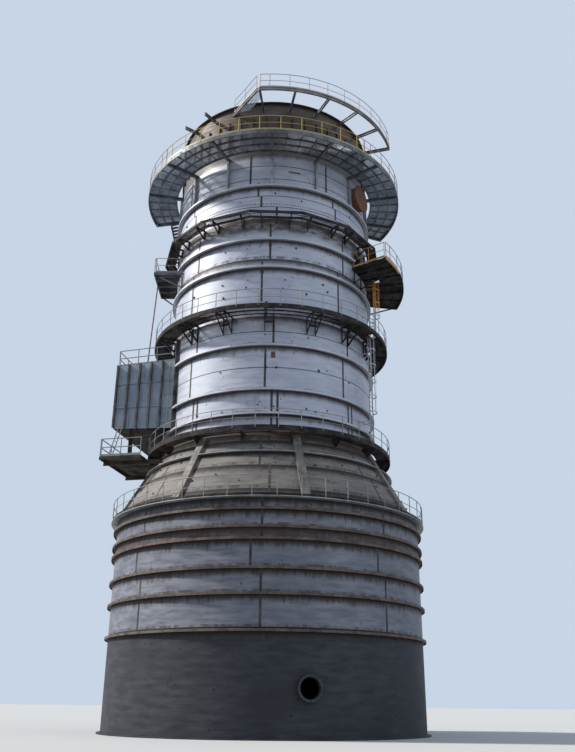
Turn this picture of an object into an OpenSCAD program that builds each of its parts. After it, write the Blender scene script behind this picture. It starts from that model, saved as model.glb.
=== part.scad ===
// Ring-stiffened steel process column with a wide lower vessel, a cone and
// a narrower upper shell. Millimetres, +Z up, origin on the axis at ground level.
// Azimuths are in degrees round the axis from the front, which faces -Y,
// and grow towards +X.

/* [Skirt] */
// Outer radius of the skirt and of the wide lower shell
lower_r = 9100; // [8600:10:9600]
// Height of the skirt
skirt_h = 5000; // [4600:10:6000]
// Thickness of the skirt plate
skirt_t = 40; // [25:1:60]
// Reach of the base ring outside the skirt
base_ring_reach = 220; // [150:10:400]
// Thickness of the base ring
base_ring_t = 60; // [40:5:120]
// Azimuth of the manway
manway_az = 14.5; // [5:0.5:30]
// Height of the manway centre
manway_z = 2270; // [1500:10:3200]
// Inner radius of the manway
manway_r = 500; // [300:10:600]
// Thickness of the manway neck
manway_t = 20; // [12:1:30]
// Reach of the manway neck outside the skirt
manway_reach = 260; // [200:10:400]

/* [Lower vessel] */
// Thickness of the floor plate between skirt and vessel
floor_t = 40; // [25:1:80]
// Height of the wide lower shell
lower_h = 6360; // [6200:10:7200]
// Thickness of the vessel's shell plates
shell_t = 30; // [16:1:40]
// Reach of the lower stiffener rings
lower_ring_reach = 200; // [150:10:260]
// First lower ring above the floor plate
lower_ring_1 = 1560; // [1300:10:1800]
// Second lower ring above the floor plate
lower_ring_2 = 2810; // [2500:10:3100]
// Lower flange of the girder above the floor plate
girder_ring_1 = 4260; // [3900:10:4400]
// Upper flange of the girder above the floor plate
girder_ring_2 = 4860; // [4700:10:5100]
// Top stiffener of the lower shell above the floor plate
lower_ring_3 = 5780; // [5500:10:5900]

/* [Cone] */
// Thickness of the shoulder ring plate
shoulder_t = 40; // [25:1:60]
// Reach of the shoulder walkway outside the lower shell
shoulder_reach = 380; // [300:10:500]
// Height of the cone
cone_h = 4560; // [4300:10:4900]
// Number of ribs round the cone
cone_rib_count = 8; // [6:1:10]
// Azimuth of the first cone rib
cone_rib_az = 13.6; // [5:0.1:20]
// Depth of the cone ribs
cone_rib_depth = 200; // [150:10:240]
// Width of the cone ribs
cone_rib_w = 450; // [300:10:550]
// Ring of the cone above the cone's base
cone_ring_z = 2900; // [2600:10:3200]
// Height of the cone walkway's deck above the cone's base
cone_walkway_z = 4260; // [4200:10:4300]
// Reach of the cone walkway from the upper shell's surface
cone_walkway_reach = 1150; // [1050:10:1250]

/* [Upper shell] */
// Outer radius of the upper shell
upper_r = 6500; // [6300:10:6700]
// Height of the course with the inlet duct
course_1_h = 6000; // [5950:10:6300]
// Height of the second course
course_2_h = 4900; // [4750:10:5200]
// Height of the third course
course_3_h = 7850; // [7700:10:8000]
// Height of the crown
crown_h = 4100; // [3950:10:4300]
// Reach of the upper stiffener rings
upper_ring_reach = 250; // [200:10:300]
// Lowest upper ring above the cone
ring_1_z = 840; // [800:10:880]
// Second upper ring above the cone
ring_2_z = 2300; // [2100:10:2500]
// Third upper ring above the cone
ring_3_z = 5080; // [4900:10:5300]
// Ring of the second course above its base
ring_4_z = 4300; // [4200:10:4400]
// First ring of the third course above its base
ring_5_z = 1360; // [1250:10:1450]
// Last ring of the third course above its base
ring_6_z = 5300; // [5200:10:5400]
// Thickness of the ring webs
ring_web_t = 24; // [16:1:40]
// Width of the ring flanges
ring_flange_w = 130; // [80:5:180]
// Thickness of the ring flanges
ring_flange_t = 24; // [16:1:40]

/* [Walkways] */
// Thickness of the deck gratings
deck_t = 40; // [30:1:60]
// Gap between a deck and the shell beside it
deck_gap = 120; // [80:5:200]
// Depth of the channel along a deck's edge
fascia_h = 180; // [120:5:240]
// Thickness of that edge channel
fascia_t = 60; // [40:5:90]
// Deck of the middle walkway above the second course's base
mid_walkway_z = 1150; // [1000:10:1300]
// Reach of the middle walkway from the shell
mid_walkway_reach = 1230; // [1150:10:1300]
// Number of brackets under a walkway
bracket_count = 16; // [12:1:18]
// Height of the walkway brackets
bracket_h = 1100; // [900:10:1200]
// Distance between the two plates of a bracket
bracket_gap = 560; // [400:10:700]
// Thickness of the bracket plates
bracket_t = 24; // [16:1:40]
// Deck of the narrow walkway above the third course's base
narrow_walkway_z = 3000; // [2900:10:3100]
// Reach of the narrow walkway's corners from the shell
narrow_walkway_reach = 1000; // [950:10:1050]
// Number of straight sides of the narrow walkway
narrow_sides = 14; // [12:1:16]

/* [Handrails] */
// Height of the handrails
rail_h = 1100; // [1050:10:1150]
// Side of the handrail bars
rail_bar = 45; // [38:1:60]
// Distance between handrail posts
post_pitch = 1300; // [1200:10:1500]
// Height of the toe plate
toe_h = 140; // [100:5:180]
// Thickness of the toe plate
toe_t = 10; // [6:1:16]

/* [Balconies] */
// Height of the balcony decks above the third course's base
balcony_z = 950; // [900:10:1000]
// Start azimuth of the right balcony
right_balcony_a0 = 53.5; // [50:0.5:55]
// End azimuth of the right balcony
right_balcony_a1 = 101.5; // [98:0.5:104]
// Reach of the right balcony from the shell
right_balcony_reach = 2530; // [2300:10:2700]
// Azimuth of the left balcony's square frame
left_balcony_az = -90; // [-94:0.5:-86]
// Left balcony from its frame's middle line to its back edge
left_balcony_back = 400; // [300:10:600]
// Left balcony from its frame's middle line to its front edge
left_balcony_front = 3000; // [2800:10:3200]
// Distance from the column's axis to the left balcony's outer edge
left_balcony_d = 7750; // [7600:10:8000]
// Azimuth of the doorway
door_az = 59; // [58.5:0.5:62]
// Width of the doorway
door_w = 900; // [800:10:1000]
// Height of the doorway
door_h = 950; // [850:10:1050]
// Azimuth of the side nozzle
nozzle_az = 60; // [58:0.5:66]
// Height of the side nozzle above the third course's base
nozzle_z = 6500; // [6400:10:6600]
// Outer radius of the side nozzle's neck
nozzle_r = 800; // [700:10:850]
// Reach of the side nozzle
nozzle_reach = 420; // [350:10:500]

/* [Ladders and stair] */
// Azimuth of the lower ladder
lower_ladder_az = 61; // [59:0.5:61.5]
// Azimuth of the middle ladder
middle_ladder_az = 72; // [70:0.5:76]
// Width of a ladder
ladder_w = 450; // [400:10:500]
// Distance from the shell to a ladder's rungs
ladder_off = 640; // [600:10:680]
// Distance between rungs
rung_pitch = 300; // [250:10:330]
// Radius of a ladder cage
cage_r = 360; // [340:5:380]
// Distance between the hoops of a cage
hoop_pitch = 900; // [700:10:1200]
// Width of the stair
stair_w = 800; // [700:10:850]
// Rise of a stair step
stair_rise = 200; // [180:5:220]

/* [Top platform] */
// Number of equal divisions round the top platform
top_divisions = 14; // [12:1:16]
// Reach of the top platform from the shell
top_reach = 2460; // [2300:10:2600]
// Start azimuth of the top platform
top_a0 = -103; // [-106:0.5:-101]
// End azimuth of the top platform
top_a1 = 115; // [111:0.5:118]
// Gap between the top platform and the shell
top_gap = 420; // [350:10:500]
// Depth of the beams under the top platform
top_beam_h = 240; // [180:5:300]
// Width of the beams under the top platform
top_beam_w = 120; // [90:5:160]
// Azimuth where the front rail starts
front_rail_a0 = -52; // [-56:0.5:-48]
// Azimuth where the front rail ends
front_rail_a1 = 42; // [38:0.5:46]

/* [Crown] */
// Drop of the crown's cantilever beams below the rim
crown_beam_drop = 480; // [400:10:560]
// Reach of the crown's ring beam from the shell
crown_reach = 2140; // [2000:10:2300]
// Azimuth step between the crown's cantilever beams
crown_beam_step = 15.6; // [14:0.1:16]
// Azimuth of the crown ring's first beam
crown_beam_az = -5.7; // [-7:0.1:-4]
// Number of beams that carry the crown ring
crown_beam_count = 6; // [5:1:6]
// Depth of the crown's beams
crown_beam_h = 220; // [160:5:260]
// Width of the crown's beams
crown_beam_w = 120; // [90:5:160]
// Rise of the roof
roof_rise = 420; // [300:10:450]
// Thickness of the rim flange
rim_t = 60; // [40:5:90]
// Number of vertical stiffeners round the crown
crown_stiffener_count = 48; // [36:1:56]

/* [Inlet duct] */
// Azimuth of the inlet duct
duct_az = -102; // [-104:0.5:-100]
// Width of the inlet duct
duct_w = 8300; // [8000:10:8500]
// Distance from the column's axis to the duct's outer end
duct_end = 9000; // [8700:10:9300]
// Underside of the duct at its outer end above the cone
duct_low_z = 1270; // [1240:10:1350]
// Top of the duct at its outer end above the cone
duct_top_z = 5430; // [5300:10:5550]
// How much the duct widens up and down towards the shell
duct_flare = 160; // [120:10:170]
// Thickness of the duct plates
duct_t = 20; // [12:1:30]
// Number of vertical ribs on a duct wall
duct_rib_count = 5; // [4:1:6]
// Depth of the duct ribs
duct_rib_depth = 260; // [200:10:320]
// Deck of the duct's balcony above the cone's base
duct_balcony_z = 3600; // [3500:10:3700]
// Length of the duct's balcony across the duct
duct_balcony_l = 4500; // [4200:10:4800]

/* [Hidden] */
$fn = 240;
// Sides of a circle that cuts a piece to the shell, and of a small round bar or hole
fine = 720;
small = 48;
// Gap where a piece seats on another, seam between welded lengths, room beside a part
seat = 0.3;
seam = 0.5;
clear = 20;
// Lengths in a full ring
segments = 16;
mid_rail_share = 0.5;
// Doorway
door_sill = 80;
door_frame_w = 90;
door_frame_reach = 70;
cutter_l = 600;
// Anchor bolt holes of the base ring
anchor_hole_r = 30;
// Lengths of the cone ring between two ribs, and of the right balcony before and after its hatch
cone_ring_lengths = 2;
right_balcony_lengths = [1, 2];
// Brackets and knees
bracket_toe = 90;
cone_gusset_h = 590;
narrow_bracket_h = 700;
narrow_bracket_turn = 0.3;
narrow_az = -10.3;
knee_h = 900;
knee_inset = 150;
right_knee_shares = [0.04, 0.22, 0.6, 0.96];
rail_side_gap = 60;
// Flanged necks
flange_w = 110;
flange_t = 45;
neck_in = 100;
// Ladders and stair
stringer_t = 12;
stringer_w = 65;
rung_t = 24;
cage_bar_t = 10;
cage_arcs = 3;
cage_start = 2300;
ladder_tie_shares = [0.2, 0.72];
cage_strap_angles = [-60, -20, 20, 60];
stair_off = 950;
stair_turn = 21;
stair_t = 12;
stair_deep = 260;
stair_over = 30;
tread_d = 240;
tread_t = 30;
// Top platform
purlin_w = 80;
purlin_h = 120;
purlin_count = 3;
top_bay_min = 6;
post_back = 10;
// Crown
crown_margin = 500;
crown_stiffener_d = 120;
crown_stub_count = 2;
crown_stub_reach = 1150;
crown_end_turn = 19;
rim_reach = 160;
rim_in = 120;
// Duct
duct_strips = 4;
duct_in = 80;
duct_fin_off = 60;
duct_rib_first = 60;
duct_bar_room = 937;
duct_flange_w = 110;
duct_bar_d = 60;
duct_bar_t = 16;
duct_bar_levels = 5;
duct_post_w = 200;
duct_balcony_x = 1200;
duct_balcony_w = 2600;
duct_beam_shares = [0.12, 0.88];
ladder_lean = 650;
ladder_over = 260;
strut_r = 40;
strut_foot_d = 7100;
strut_head_x = 1400;

z_floor = skirt_h;
z_lower = z_floor + floor_t;
z_shoulder = z_lower + lower_h;
z_cone = z_shoulder + shoulder_t;
z_1 = z_cone + cone_h;
z_2 = z_1 + course_1_h;
z_3 = z_2 + course_2_h;
z_crown = z_3 + course_3_h;
z_rim = z_crown + crown_h;

cone_ring_h = z_cone + cone_ring_z;
cone_deck_z = z_cone + cone_walkway_z;
mid_deck_z = z_2 + mid_walkway_z;
balcony_deck_z = z_3 + balcony_z;
narrow_deck_z = z_3 + narrow_walkway_z;
top_deck_z = z_crown;
crown_beam_top = z_rim - crown_beam_drop;
duct_deck_z = z_cone + duct_balcony_z;
duct_half = duct_w / 2;
duct_root = sqrt(pow(upper_r, 2) - pow(duct_half, 2));
duct_inner = duct_root - duct_in;
duct_rib_pitch = (duct_end - duct_rib_first - duct_root - duct_bar_room) / (duct_rib_count - 1);
duct_slope = duct_flare / (duct_end - duct_root);
duct_bore_half = asin((duct_half - duct_t) / upper_r);
duct_fin_half = asin((duct_half + duct_fin_off) / upper_r);
top_end_turn = arc_deg(top_beam_w / 2, upper_r);
// Radii of a deck's opening for a caged ladder, and half its turn
hatch_in = upper_r + ladder_off - stringer_w / 2 - clear;
hatch_out = upper_r + ladder_off + cage_r + clear;
hatch_turn = asin((cage_r + clear) / hatch_in);

function cone_r(z) = lower_r - (z - z_cone) * (lower_r - upper_r) / cone_h;
function place(r, a) = [r * sin(a), -r * cos(a)];
// Point at distance d along azimuth a and x to the right of it
function beside(d, x, a) = place(norm([d, x]), a + atan(x / d));
function arc_deg(length, r) = length / r * 180 / PI;
function duct_low(d) = z_1 + duct_low_z - duct_slope * (duct_end - d);
function duct_top(d) = z_1 + duct_top_z + duct_slope * (duct_end - d);
function duct_rib_d(i) = duct_end - duct_rib_first - i * duct_rib_pitch;
// Beams that lie between the two end beams of the top platform
function top_inner_beams() = [
    for (i = [-top_divisions : top_divisions])
        let (a = i * 360 / top_divisions)
        if (a > top_a0 + top_bay_min && a < top_a1 - top_bay_min) a
];
function top_all_beams() = concat([top_a0 + top_end_turn], top_inner_beams(), [top_a1 - top_end_turn]);

// Puts its children at azimuth a, radius r and height z, facing outwards along -Y
module at_azimuth(a, r = 0, z = 0) {
    rotate([0, 0, a]) translate([0, -r, z]) children();
}

// Sweeps a profile of radius and height from azimuth a0 to a1
module sweep_arc(a0, a1) {
    rotate([0, 0, a0 - 90]) rotate_extrude(angle = a1 - a0) children();
}

// Sweeps a profile as n welded lengths that leave a hair seam at radius r
module sweep_lengths(a0, a1, n, r) {
    step = (a1 - a0) / n;
    gap = arc_deg(seam, r);
    for (i = [0 : n - 1]) {
        sweep_arc(a0 + i * step + gap / 2, a0 + (i + 1) * step - gap / 2) children();
    }
}

// Rectangle of a profile between two radii and two heights
module band(r0, r1, z0, z1) {
    translate([r0, z0]) square([r1 - r0, z1 - z0]);
}

// Radius and height profile made into a flat plate of thickness t at azimuth a
module radial_plate(a, t) {
    rotate([0, 0, a - 90]) rotate([90, 0, 0]) translate([0, 0, -t / 2]) linear_extrude(t) children();
}

// Number of ring lengths that fit an arc
function lengths_in(a0, a1) = max(1, round((a1 - a0) * segments / 360));

// Curved plates from azimuth a0 to a1
module course(r, z0, h, t, a0 = 0, a1 = 360) {
    sweep_lengths(a0, a1, lengths_in(a0, a1), r) band(r - t, r, z0, z0 + h);
}

// T-section of a stiffener ring on radius r at height z
module ring_section(r, z, reach) {
    band(r + seat, r + reach, z, z + ring_web_t);
    band(
        r + reach - ring_flange_t, r + reach,
        z + ring_web_t / 2 - ring_flange_w / 2, z + ring_web_t / 2 + ring_flange_w / 2
    );
}

module stiffener_ring(r, z, reach, a0 = 0, a1 = 360) {
    sweep_lengths(a0, a1, lengths_in(a0, a1), r) ring_section(r, z, reach);
}

// Deck with an edge channel, its top at height z
module walkway_section(r0, r1, z) {
    band(r0, r1, z - deck_t, z);
    band(r1 - fascia_t, r1, z - fascia_h, z);
}

module rail_section(r, z) {
    mid = z + rail_h * mid_rail_share;
    band(r - rail_bar / 2, r + rail_bar / 2, z + rail_h - rail_bar, z + rail_h);
    band(r - rail_bar / 2, r + rail_bar / 2, mid - rail_bar / 2, mid + rail_bar / 2);
    band(r - toe_t / 2, r + toe_t / 2, z + seat, z + toe_h);
}

// Post that stands on the deck at the origin
module rail_post() {
    translate([-rail_bar / 2, -rail_bar / 2, seat]) cube([rail_bar, rail_bar, rail_h - seat - rail_bar / 2]);
}

// Handrail along an arc in welded lengths, with posts between their ends
module arc_rail(a0, a1, r, z) {
    count = lengths_in(a0, a1);
    step = (a1 - a0) / count;
    gap = arc_deg(seam, r);
    posts = max(1, round(step * PI / 180 * r / post_pitch));
    for (i = [0 : count - 1]) {
        start = a0 + i * step;
        sweep_arc(start + gap / 2, start + step - gap / 2) rail_section(r, z);
        for (j = [0 : posts - 1]) {
            at_azimuth(start + (j + 0.5) * step / posts, r, z) rail_post();
        }
    }
}

// Straight handrail along +X from the origin
module straight_rail(length) {
    bays = max(1, round(length / post_pitch));
    mid = rail_h * mid_rail_share;
    translate([0, -rail_bar / 2, rail_h - rail_bar]) cube([length, rail_bar, rail_bar]);
    translate([0, -rail_bar / 2, mid - rail_bar / 2]) cube([length, rail_bar, rail_bar]);
    translate([0, -toe_t / 2, seat]) cube([length, toe_t, toe_h - seat]);
    for (i = [0 : bays]) {
        translate([rail_bar / 2 + i * (length - rail_bar) / bays, 0, 0]) rail_post();
    }
}

// Radial handrail from radius r0 to r1 at azimuth a
module radial_rail(a, r0, r1, z) {
    rotate([0, 0, a - 90]) translate([r0, 0, z]) straight_rail(r1 - r0);
}

module base_ring() {
    color("dimgray")
        difference() {
            sweep_lengths(0, 360, segments, lower_r)
                band(lower_r - skirt_t - base_ring_reach, lower_r + base_ring_reach, 0, base_ring_t);
            for (i = [0 : segments - 1]) {
                at_azimuth((i + 0.5) * 360 / segments, lower_r + base_ring_reach / 2, -1)
                    cylinder(r = anchor_hole_r, h = base_ring_t + 2, $fn = small);
            }
        }
}

module skirt() {
    hole_r = manway_r + manway_t + seat;
    color("slategray")
        difference() {
            course(lower_r, base_ring_t, skirt_h - base_ring_t, skirt_t);
            at_azimuth(manway_az, lower_r, manway_z) rotate([90, 0, 0]) translate([0, 0, -cutter_l])
                cylinder(r = hole_r, h = 2 * cutter_l);
        }
}

// Neck with a flange on its outer end, along +Z from depth neck_in below the origin
module flanged_neck(r, t, reach) {
    difference() {
        union() {
            translate([0, 0, -neck_in]) cylinder(r = r + t, h = neck_in + reach);
            translate([0, 0, reach - flange_t]) cylinder(r = r + t + flange_w, h = flange_t);
        }
        translate([0, 0, -neck_in - 1]) cylinder(r = r, h = neck_in + reach + 2);
    }
}

module skirt_manway() {
    color("gray")
        at_azimuth(manway_az, lower_r, manway_z) rotate([90, 0, 0])
            flanged_neck(manway_r, manway_t, manway_reach);
}

module floor_plate() {
    color("dimgray") translate([0, 0, z_floor]) cylinder(r = lower_r, h = floor_t);
}

module lower_shell() {
    color("silver") course(lower_r, z_lower, lower_h, shell_t);
}

module lower_rings() {
    color("saddlebrown") {
        stiffener_ring(lower_r, z_floor - ring_flange_w, lower_ring_reach);
        for (z = [lower_ring_1, lower_ring_2, girder_ring_1, girder_ring_2, lower_ring_3]) {
            stiffener_ring(lower_r, z_lower + z, lower_ring_reach);
        }
    }
}

module shoulder_walkway() {
    color("lightgray")
        sweep_lengths(0, 360, segments, lower_r)
            band(lower_r - shoulder_reach, lower_r + shoulder_reach, z_shoulder, z_cone);
}

module shoulder_rail() {
    color("silver") arc_rail(0, 360, lower_r + shoulder_reach - rail_bar, z_cone);
}

module cone_shell() {
    color("tan")
        sweep_lengths(0, 360, segments, lower_r) polygon([
            [lower_r - shell_t, z_cone], [lower_r, z_cone],
            [upper_r, z_1], [upper_r - shell_t, z_1]
        ]);
}

module cone_ribs() {
    low = z_cone + fascia_t;
    high = cone_deck_z - fascia_h - fascia_t;
    color("gray")
        for (i = [0 : cone_rib_count - 1]) {
            radial_plate(cone_rib_az + i * 360 / cone_rib_count, cone_rib_w) polygon([
                [cone_r(low) + seat, low], [cone_r(low) + cone_rib_depth, low],
                [cone_r(high) + cone_rib_depth, high], [cone_r(high) + seat, high]
            ]);
        }
}

// Ring of the cone, interrupted by the ribs
module cone_ring() {
    low_r = cone_r(cone_ring_h);
    high_r = cone_r(cone_ring_h + ring_web_t);
    pitch = 360 / cone_rib_count;
    rib_half = arc_deg(cone_rib_w / 2 + seat, high_r);
    color("silver")
        for (i = [0 : cone_rib_count - 1]) {
            start = cone_rib_az + i * pitch;
            sweep_lengths(start + rib_half, start + pitch - rib_half, cone_ring_lengths, low_r) polygon([
                [low_r + seat, cone_ring_h], [low_r + upper_ring_reach, cone_ring_h],
                [low_r + upper_ring_reach, cone_ring_h + ring_web_t],
                [high_r + seat, cone_ring_h + ring_web_t]
            ]);
        }
}

module cone_walkway() {
    r1 = upper_r + cone_walkway_reach;
    top = cone_deck_z - deck_t - seat;
    low = top - cone_gusset_h;
    edge = r1 - fascia_t - seat;
    color("dimgray") {
        sweep_lengths(0, 360, segments, r1)
            walkway_section(cone_r(cone_deck_z - deck_t) + deck_gap, r1, cone_deck_z);
        for (i = [0 : bracket_count - 1]) {
            radial_plate((i + 0.5) * 360 / bracket_count, bracket_t) polygon([
                [cone_r(top) + seat, top], [edge, top], [edge, top - fascia_h], [cone_r(low) + seat, low]
            ]);
        }
    }
}

module cone_walkway_rail() {
    color("silver") arc_rail(0, 360, upper_r + cone_walkway_reach - fascia_t / 2, cone_deck_z);
}

// Plates below, above and beside the opening for the inlet duct
module inlet_course() {
    a0 = duct_az - duct_bore_half;
    a1 = duct_az + duct_bore_half;
    low = duct_low(duct_root) + duct_t;
    high = duct_top(duct_root) - duct_t;
    color("silver") {
        course(upper_r, z_1, course_1_h, shell_t, a1, a0 + 360);
        course(upper_r, z_1, low - z_1, shell_t, a0, a1);
        course(upper_r, high, z_2 - high, shell_t, a0, a1);
    }
}

module second_course() {
    color("silver") course(upper_r, z_2, course_2_h, shell_t);
}

module third_course() {
    color("silver")
        difference() {
            course(upper_r, z_3, course_3_h, shell_t);
            at_azimuth(door_az, upper_r + cutter_l, balcony_deck_z + door_sill)
                translate([-door_w / 2, 0, 0]) cube([door_w, 2 * cutter_l, door_h]);
            at_azimuth(nozzle_az, upper_r, z_3 + nozzle_z) rotate([90, 0, 0]) translate([0, 0, -cutter_l])
                cylinder(r = nozzle_r + duct_t + seat, h = 2 * cutter_l);
        }
}

module crown_shell() {
    color("gray") course(upper_r, z_crown, crown_h - rim_t, shell_t);
}

// Rings of the upper shell; two stop at the duct and one at the doorway
module upper_rings() {
    duct_half_turn = duct_fin_half + arc_deg(bracket_t / 2 + seat, upper_r);
    door_half_turn = arc_deg(door_w / 2 + door_frame_w + clear, upper_r);
    color("lightgray") {
        stiffener_ring(upper_r, z_1 + ring_1_z, upper_ring_reach);
        for (z = [ring_2_z, ring_3_z]) {
            stiffener_ring(
                upper_r, z_1 + z, upper_ring_reach,
                duct_az + duct_half_turn, duct_az + 360 - duct_half_turn
            );
        }
        stiffener_ring(upper_r, z_2 + ring_4_z, upper_ring_reach);
        stiffener_ring(
            upper_r, z_3 + ring_5_z, upper_ring_reach,
            door_az + door_half_turn, door_az + 360 - door_half_turn
        );
        stiffener_ring(upper_r, z_3 + ring_6_z, upper_ring_reach);
    }
}

// Pair of gusset plates tied by a foot plate at the deck's edge
module bracket_pair(a) {
    half = bracket_gap / 2;
    edge_r = upper_r + mid_walkway_reach - fascia_t - seat;
    r0 = sqrt(pow(upper_r, 2) - pow(half - bracket_t / 2, 2)) + seat;
    r1 = sqrt(pow(edge_r, 2) - pow(half + bracket_t / 2, 2));
    top = mid_deck_z - deck_t - seat;
    tie_w = bracket_gap - bracket_t - 2 * seat;
    rotate([0, 0, a]) {
        for (s = [-1, 1]) {
            translate([s * half, 0, 0]) radial_plate(0, bracket_t) polygon([
                [r0, top], [r1, top], [r1, top - fascia_h],
                [r0 + bracket_toe, top - bracket_h], [r0, top - bracket_h]
            ]);
        }
        translate([-tie_w / 2, -r1, top - fascia_h]) cube([tie_w, bracket_t, fascia_h]);
    }
}

// Deck with an edge channel on pairs of gusset plates, open for the lower ladder
module mid_walkway() {
    r0 = upper_r + deck_gap;
    r1 = upper_r + mid_walkway_reach;
    a0 = lower_ladder_az - hatch_turn;
    a1 = lower_ladder_az + hatch_turn;
    color("dimgray") {
        sweep_lengths(a1, a0 + 360, segments, r1) walkway_section(r0, r1, mid_deck_z);
        sweep_lengths(a0, a1, 1, r1) walkway_section(hatch_out, r1, mid_deck_z);
        sweep_lengths(a0, a1, 1, r1) band(r0, hatch_in, mid_deck_z - deck_t, mid_deck_z);
        for (i = [0 : bracket_count - 1]) {
            bracket_pair(i * 360 / bracket_count);
        }
    }
}

module mid_walkway_rail() {
    color("silver") arc_rail(0, 360, upper_r + mid_walkway_reach - fascia_t / 2, mid_deck_z);
}

// Plate with straight edges between two radii of its corners, its top level with the narrow deck
module narrow_panel(r0, r1, a0, a1, t) {
    translate([0, 0, narrow_deck_z - t]) linear_extrude(t)
        polygon([place(r0, a0), place(r1, a0), place(r1, a1), place(r0, a1)]);
}

// Walkway of straight sides with an edge channel and two brackets under each side
module narrow_walkway() {
    step = 360 / narrow_sides;
    inner = (upper_r + deck_gap) / cos(step / 2);
    outer = upper_r + narrow_walkway_reach;
    gap = arc_deg(seam, outer) / 2;
    edge = (outer - fascia_t) * cos(step / 2) / cos(step * narrow_bracket_turn) - clear;
    top = narrow_deck_z - deck_t - seat;
    low = top - narrow_bracket_h;
    color("dimgray")
        for (i = [0 : narrow_sides - 1]) {
            a0 = narrow_az + i * step + gap;
            a1 = narrow_az + (i + 1) * step - gap;
            narrow_panel(inner, outer - fascia_t - seam, a0, a1, deck_t);
            narrow_panel(outer - fascia_t, outer, a0, a1, fascia_h);
            for (turn = [-narrow_bracket_turn, narrow_bracket_turn]) {
                radial_plate((a0 + a1) / 2 + turn * step, bracket_t) polygon([
                    [upper_r + seat, top], [edge, top], [edge, top - fascia_h],
                    [upper_r + bracket_toe, low], [upper_r + seat, low]
                ]);
            }
        }
}

// Triangular knee under a balcony, at distance x from its middle line
module balcony_knee(x, d) {
    top = balcony_deck_z - fascia_h - seat;
    wall = sqrt(pow(upper_r, 2) - pow(max(abs(x) - bracket_t / 2, 0), 2)) + seat;
    translate([x, 0, 0]) radial_plate(0, bracket_t) polygon([
        [wall, top], [d - fascia_t, top], [wall + bracket_toe, top - knee_h], [wall, top - knee_h]
    ]);
}

module left_balcony() {
    length = left_balcony_back + left_balcony_front;
    low = balcony_deck_z - fascia_h;
    corner_az = asin(left_balcony_front / (upper_r + seat));
    color("dimgray")
        at_azimuth(left_balcony_az) {
            difference() {
                translate([-left_balcony_back, -left_balcony_d, low])
                    cube([length, left_balcony_d - upper_r / 2, fascia_h]);
                translate([fascia_t - left_balcony_back, fascia_t - left_balcony_d, low - deck_t])
                    cube([length - 2 * fascia_t, left_balcony_d, fascia_h]);
                translate([0, 0, low - 1]) rotate([0, 0, corner_az])
                    cylinder(r = upper_r + seat, h = fascia_h + 2, $fn = fine);
            }
            for (x = [knee_inset - left_balcony_back, left_balcony_front - knee_inset]) {
                balcony_knee(x, left_balcony_d);
            }
        }
}

module left_balcony_rail() {
    length = left_balcony_back + left_balcony_front;
    color("silver")
        at_azimuth(left_balcony_az, left_balcony_d - rail_bar, balcony_deck_z) {
            translate([-left_balcony_back, 0, 0]) straight_rail(length);
            for (x = [-left_balcony_back, left_balcony_front - rail_bar]) {
                wall = sqrt(pow(upper_r, 2) - pow(max(abs(x), abs(x + rail_bar)) - rail_bar, 2));
                side = left_balcony_d - wall - 2 * rail_bar - rail_side_gap;
                translate([x + rail_bar / 2, rail_bar / 2 + seam, 0]) rotate([0, 0, 90]) straight_rail(side);
            }
        }
}

// Deck of the right balcony from the shell to radius r1, with the edge channel along the shell
module right_balcony_section(r1) {
    r0 = upper_r + seat;
    band(r0, r1, balcony_deck_z - deck_t, balcony_deck_z);
    band(r0, upper_r + fascia_t, balcony_deck_z - fascia_h, balcony_deck_z);
}

// Right balcony on its knees, open for the middle ladder
module right_balcony() {
    r1 = upper_r + right_balcony_reach;
    a0 = middle_ladder_az - hatch_turn;
    a1 = middle_ladder_az + hatch_turn;
    top = balcony_deck_z - fascia_h - seat;
    turn = right_balcony_a1 - right_balcony_a0;
    color("dimgray") {
        sweep_lengths(right_balcony_a0, a0, right_balcony_lengths[0], r1) {
            right_balcony_section(r1);
            walkway_section(hatch_out, r1, balcony_deck_z);
        }
        sweep_lengths(a1, right_balcony_a1, right_balcony_lengths[1], r1) {
            right_balcony_section(r1);
            walkway_section(hatch_out, r1, balcony_deck_z);
        }
        sweep_lengths(a0, a1, 1, r1) right_balcony_section(hatch_in);
        sweep_lengths(a0, a1, 1, r1) walkway_section(hatch_out, r1, balcony_deck_z);
        for (share = right_knee_shares) {
            radial_plate(right_balcony_a0 + share * turn, bracket_t) polygon([
                [upper_r + seat, top], [r1 - fascia_t, top],
                [upper_r + bracket_toe, top - knee_h], [upper_r + seat, top - knee_h]
            ]);
        }
    }
}

module right_balcony_rail() {
    r1 = upper_r + right_balcony_reach - rail_bar;
    inset = arc_deg(rail_bar, r1);
    color("orange") {
        arc_rail(right_balcony_a0 + inset, right_balcony_a1 - inset, r1, balcony_deck_z);
        for (a = [right_balcony_a0 + inset / 2, right_balcony_a1 - inset / 2]) {
            radial_rail(a, upper_r + rail_side_gap, r1 - rail_bar, balcony_deck_z);
        }
    }
}

// Two jambs, a head and a sill round the doorway
module doorway_frame() {
    sill_z = balcony_deck_z + door_sill;
    depth = door_frame_reach + door_frame_w;
    full_w = door_w + 2 * door_frame_w;
    color("dimgray")
        difference() {
            at_azimuth(door_az, upper_r + door_frame_reach, sill_z) {
                for (x = [-full_w / 2, door_w / 2]) {
                    translate([x, 0, 0]) cube([door_frame_w, depth, door_h]);
                }
                for (z = [seat - door_sill, door_h + seat]) {
                    translate([-full_w / 2, 0, z]) cube([full_w, depth, door_sill - 2 * seat]);
                }
            }
            translate([0, 0, balcony_deck_z])
                cylinder(r = upper_r + seat, h = door_h + 3 * door_sill, $fn = fine);
        }
}

// Flanged nozzle closed by a cover
module side_nozzle() {
    color("sienna")
        at_azimuth(nozzle_az, upper_r, z_3 + nozzle_z) rotate([90, 0, 0]) {
            flanged_neck(nozzle_r, duct_t, nozzle_reach);
            translate([0, 0, nozzle_reach + seat]) cylinder(r = nozzle_r + duct_t + flange_w, h = flange_t);
        }
}

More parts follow.
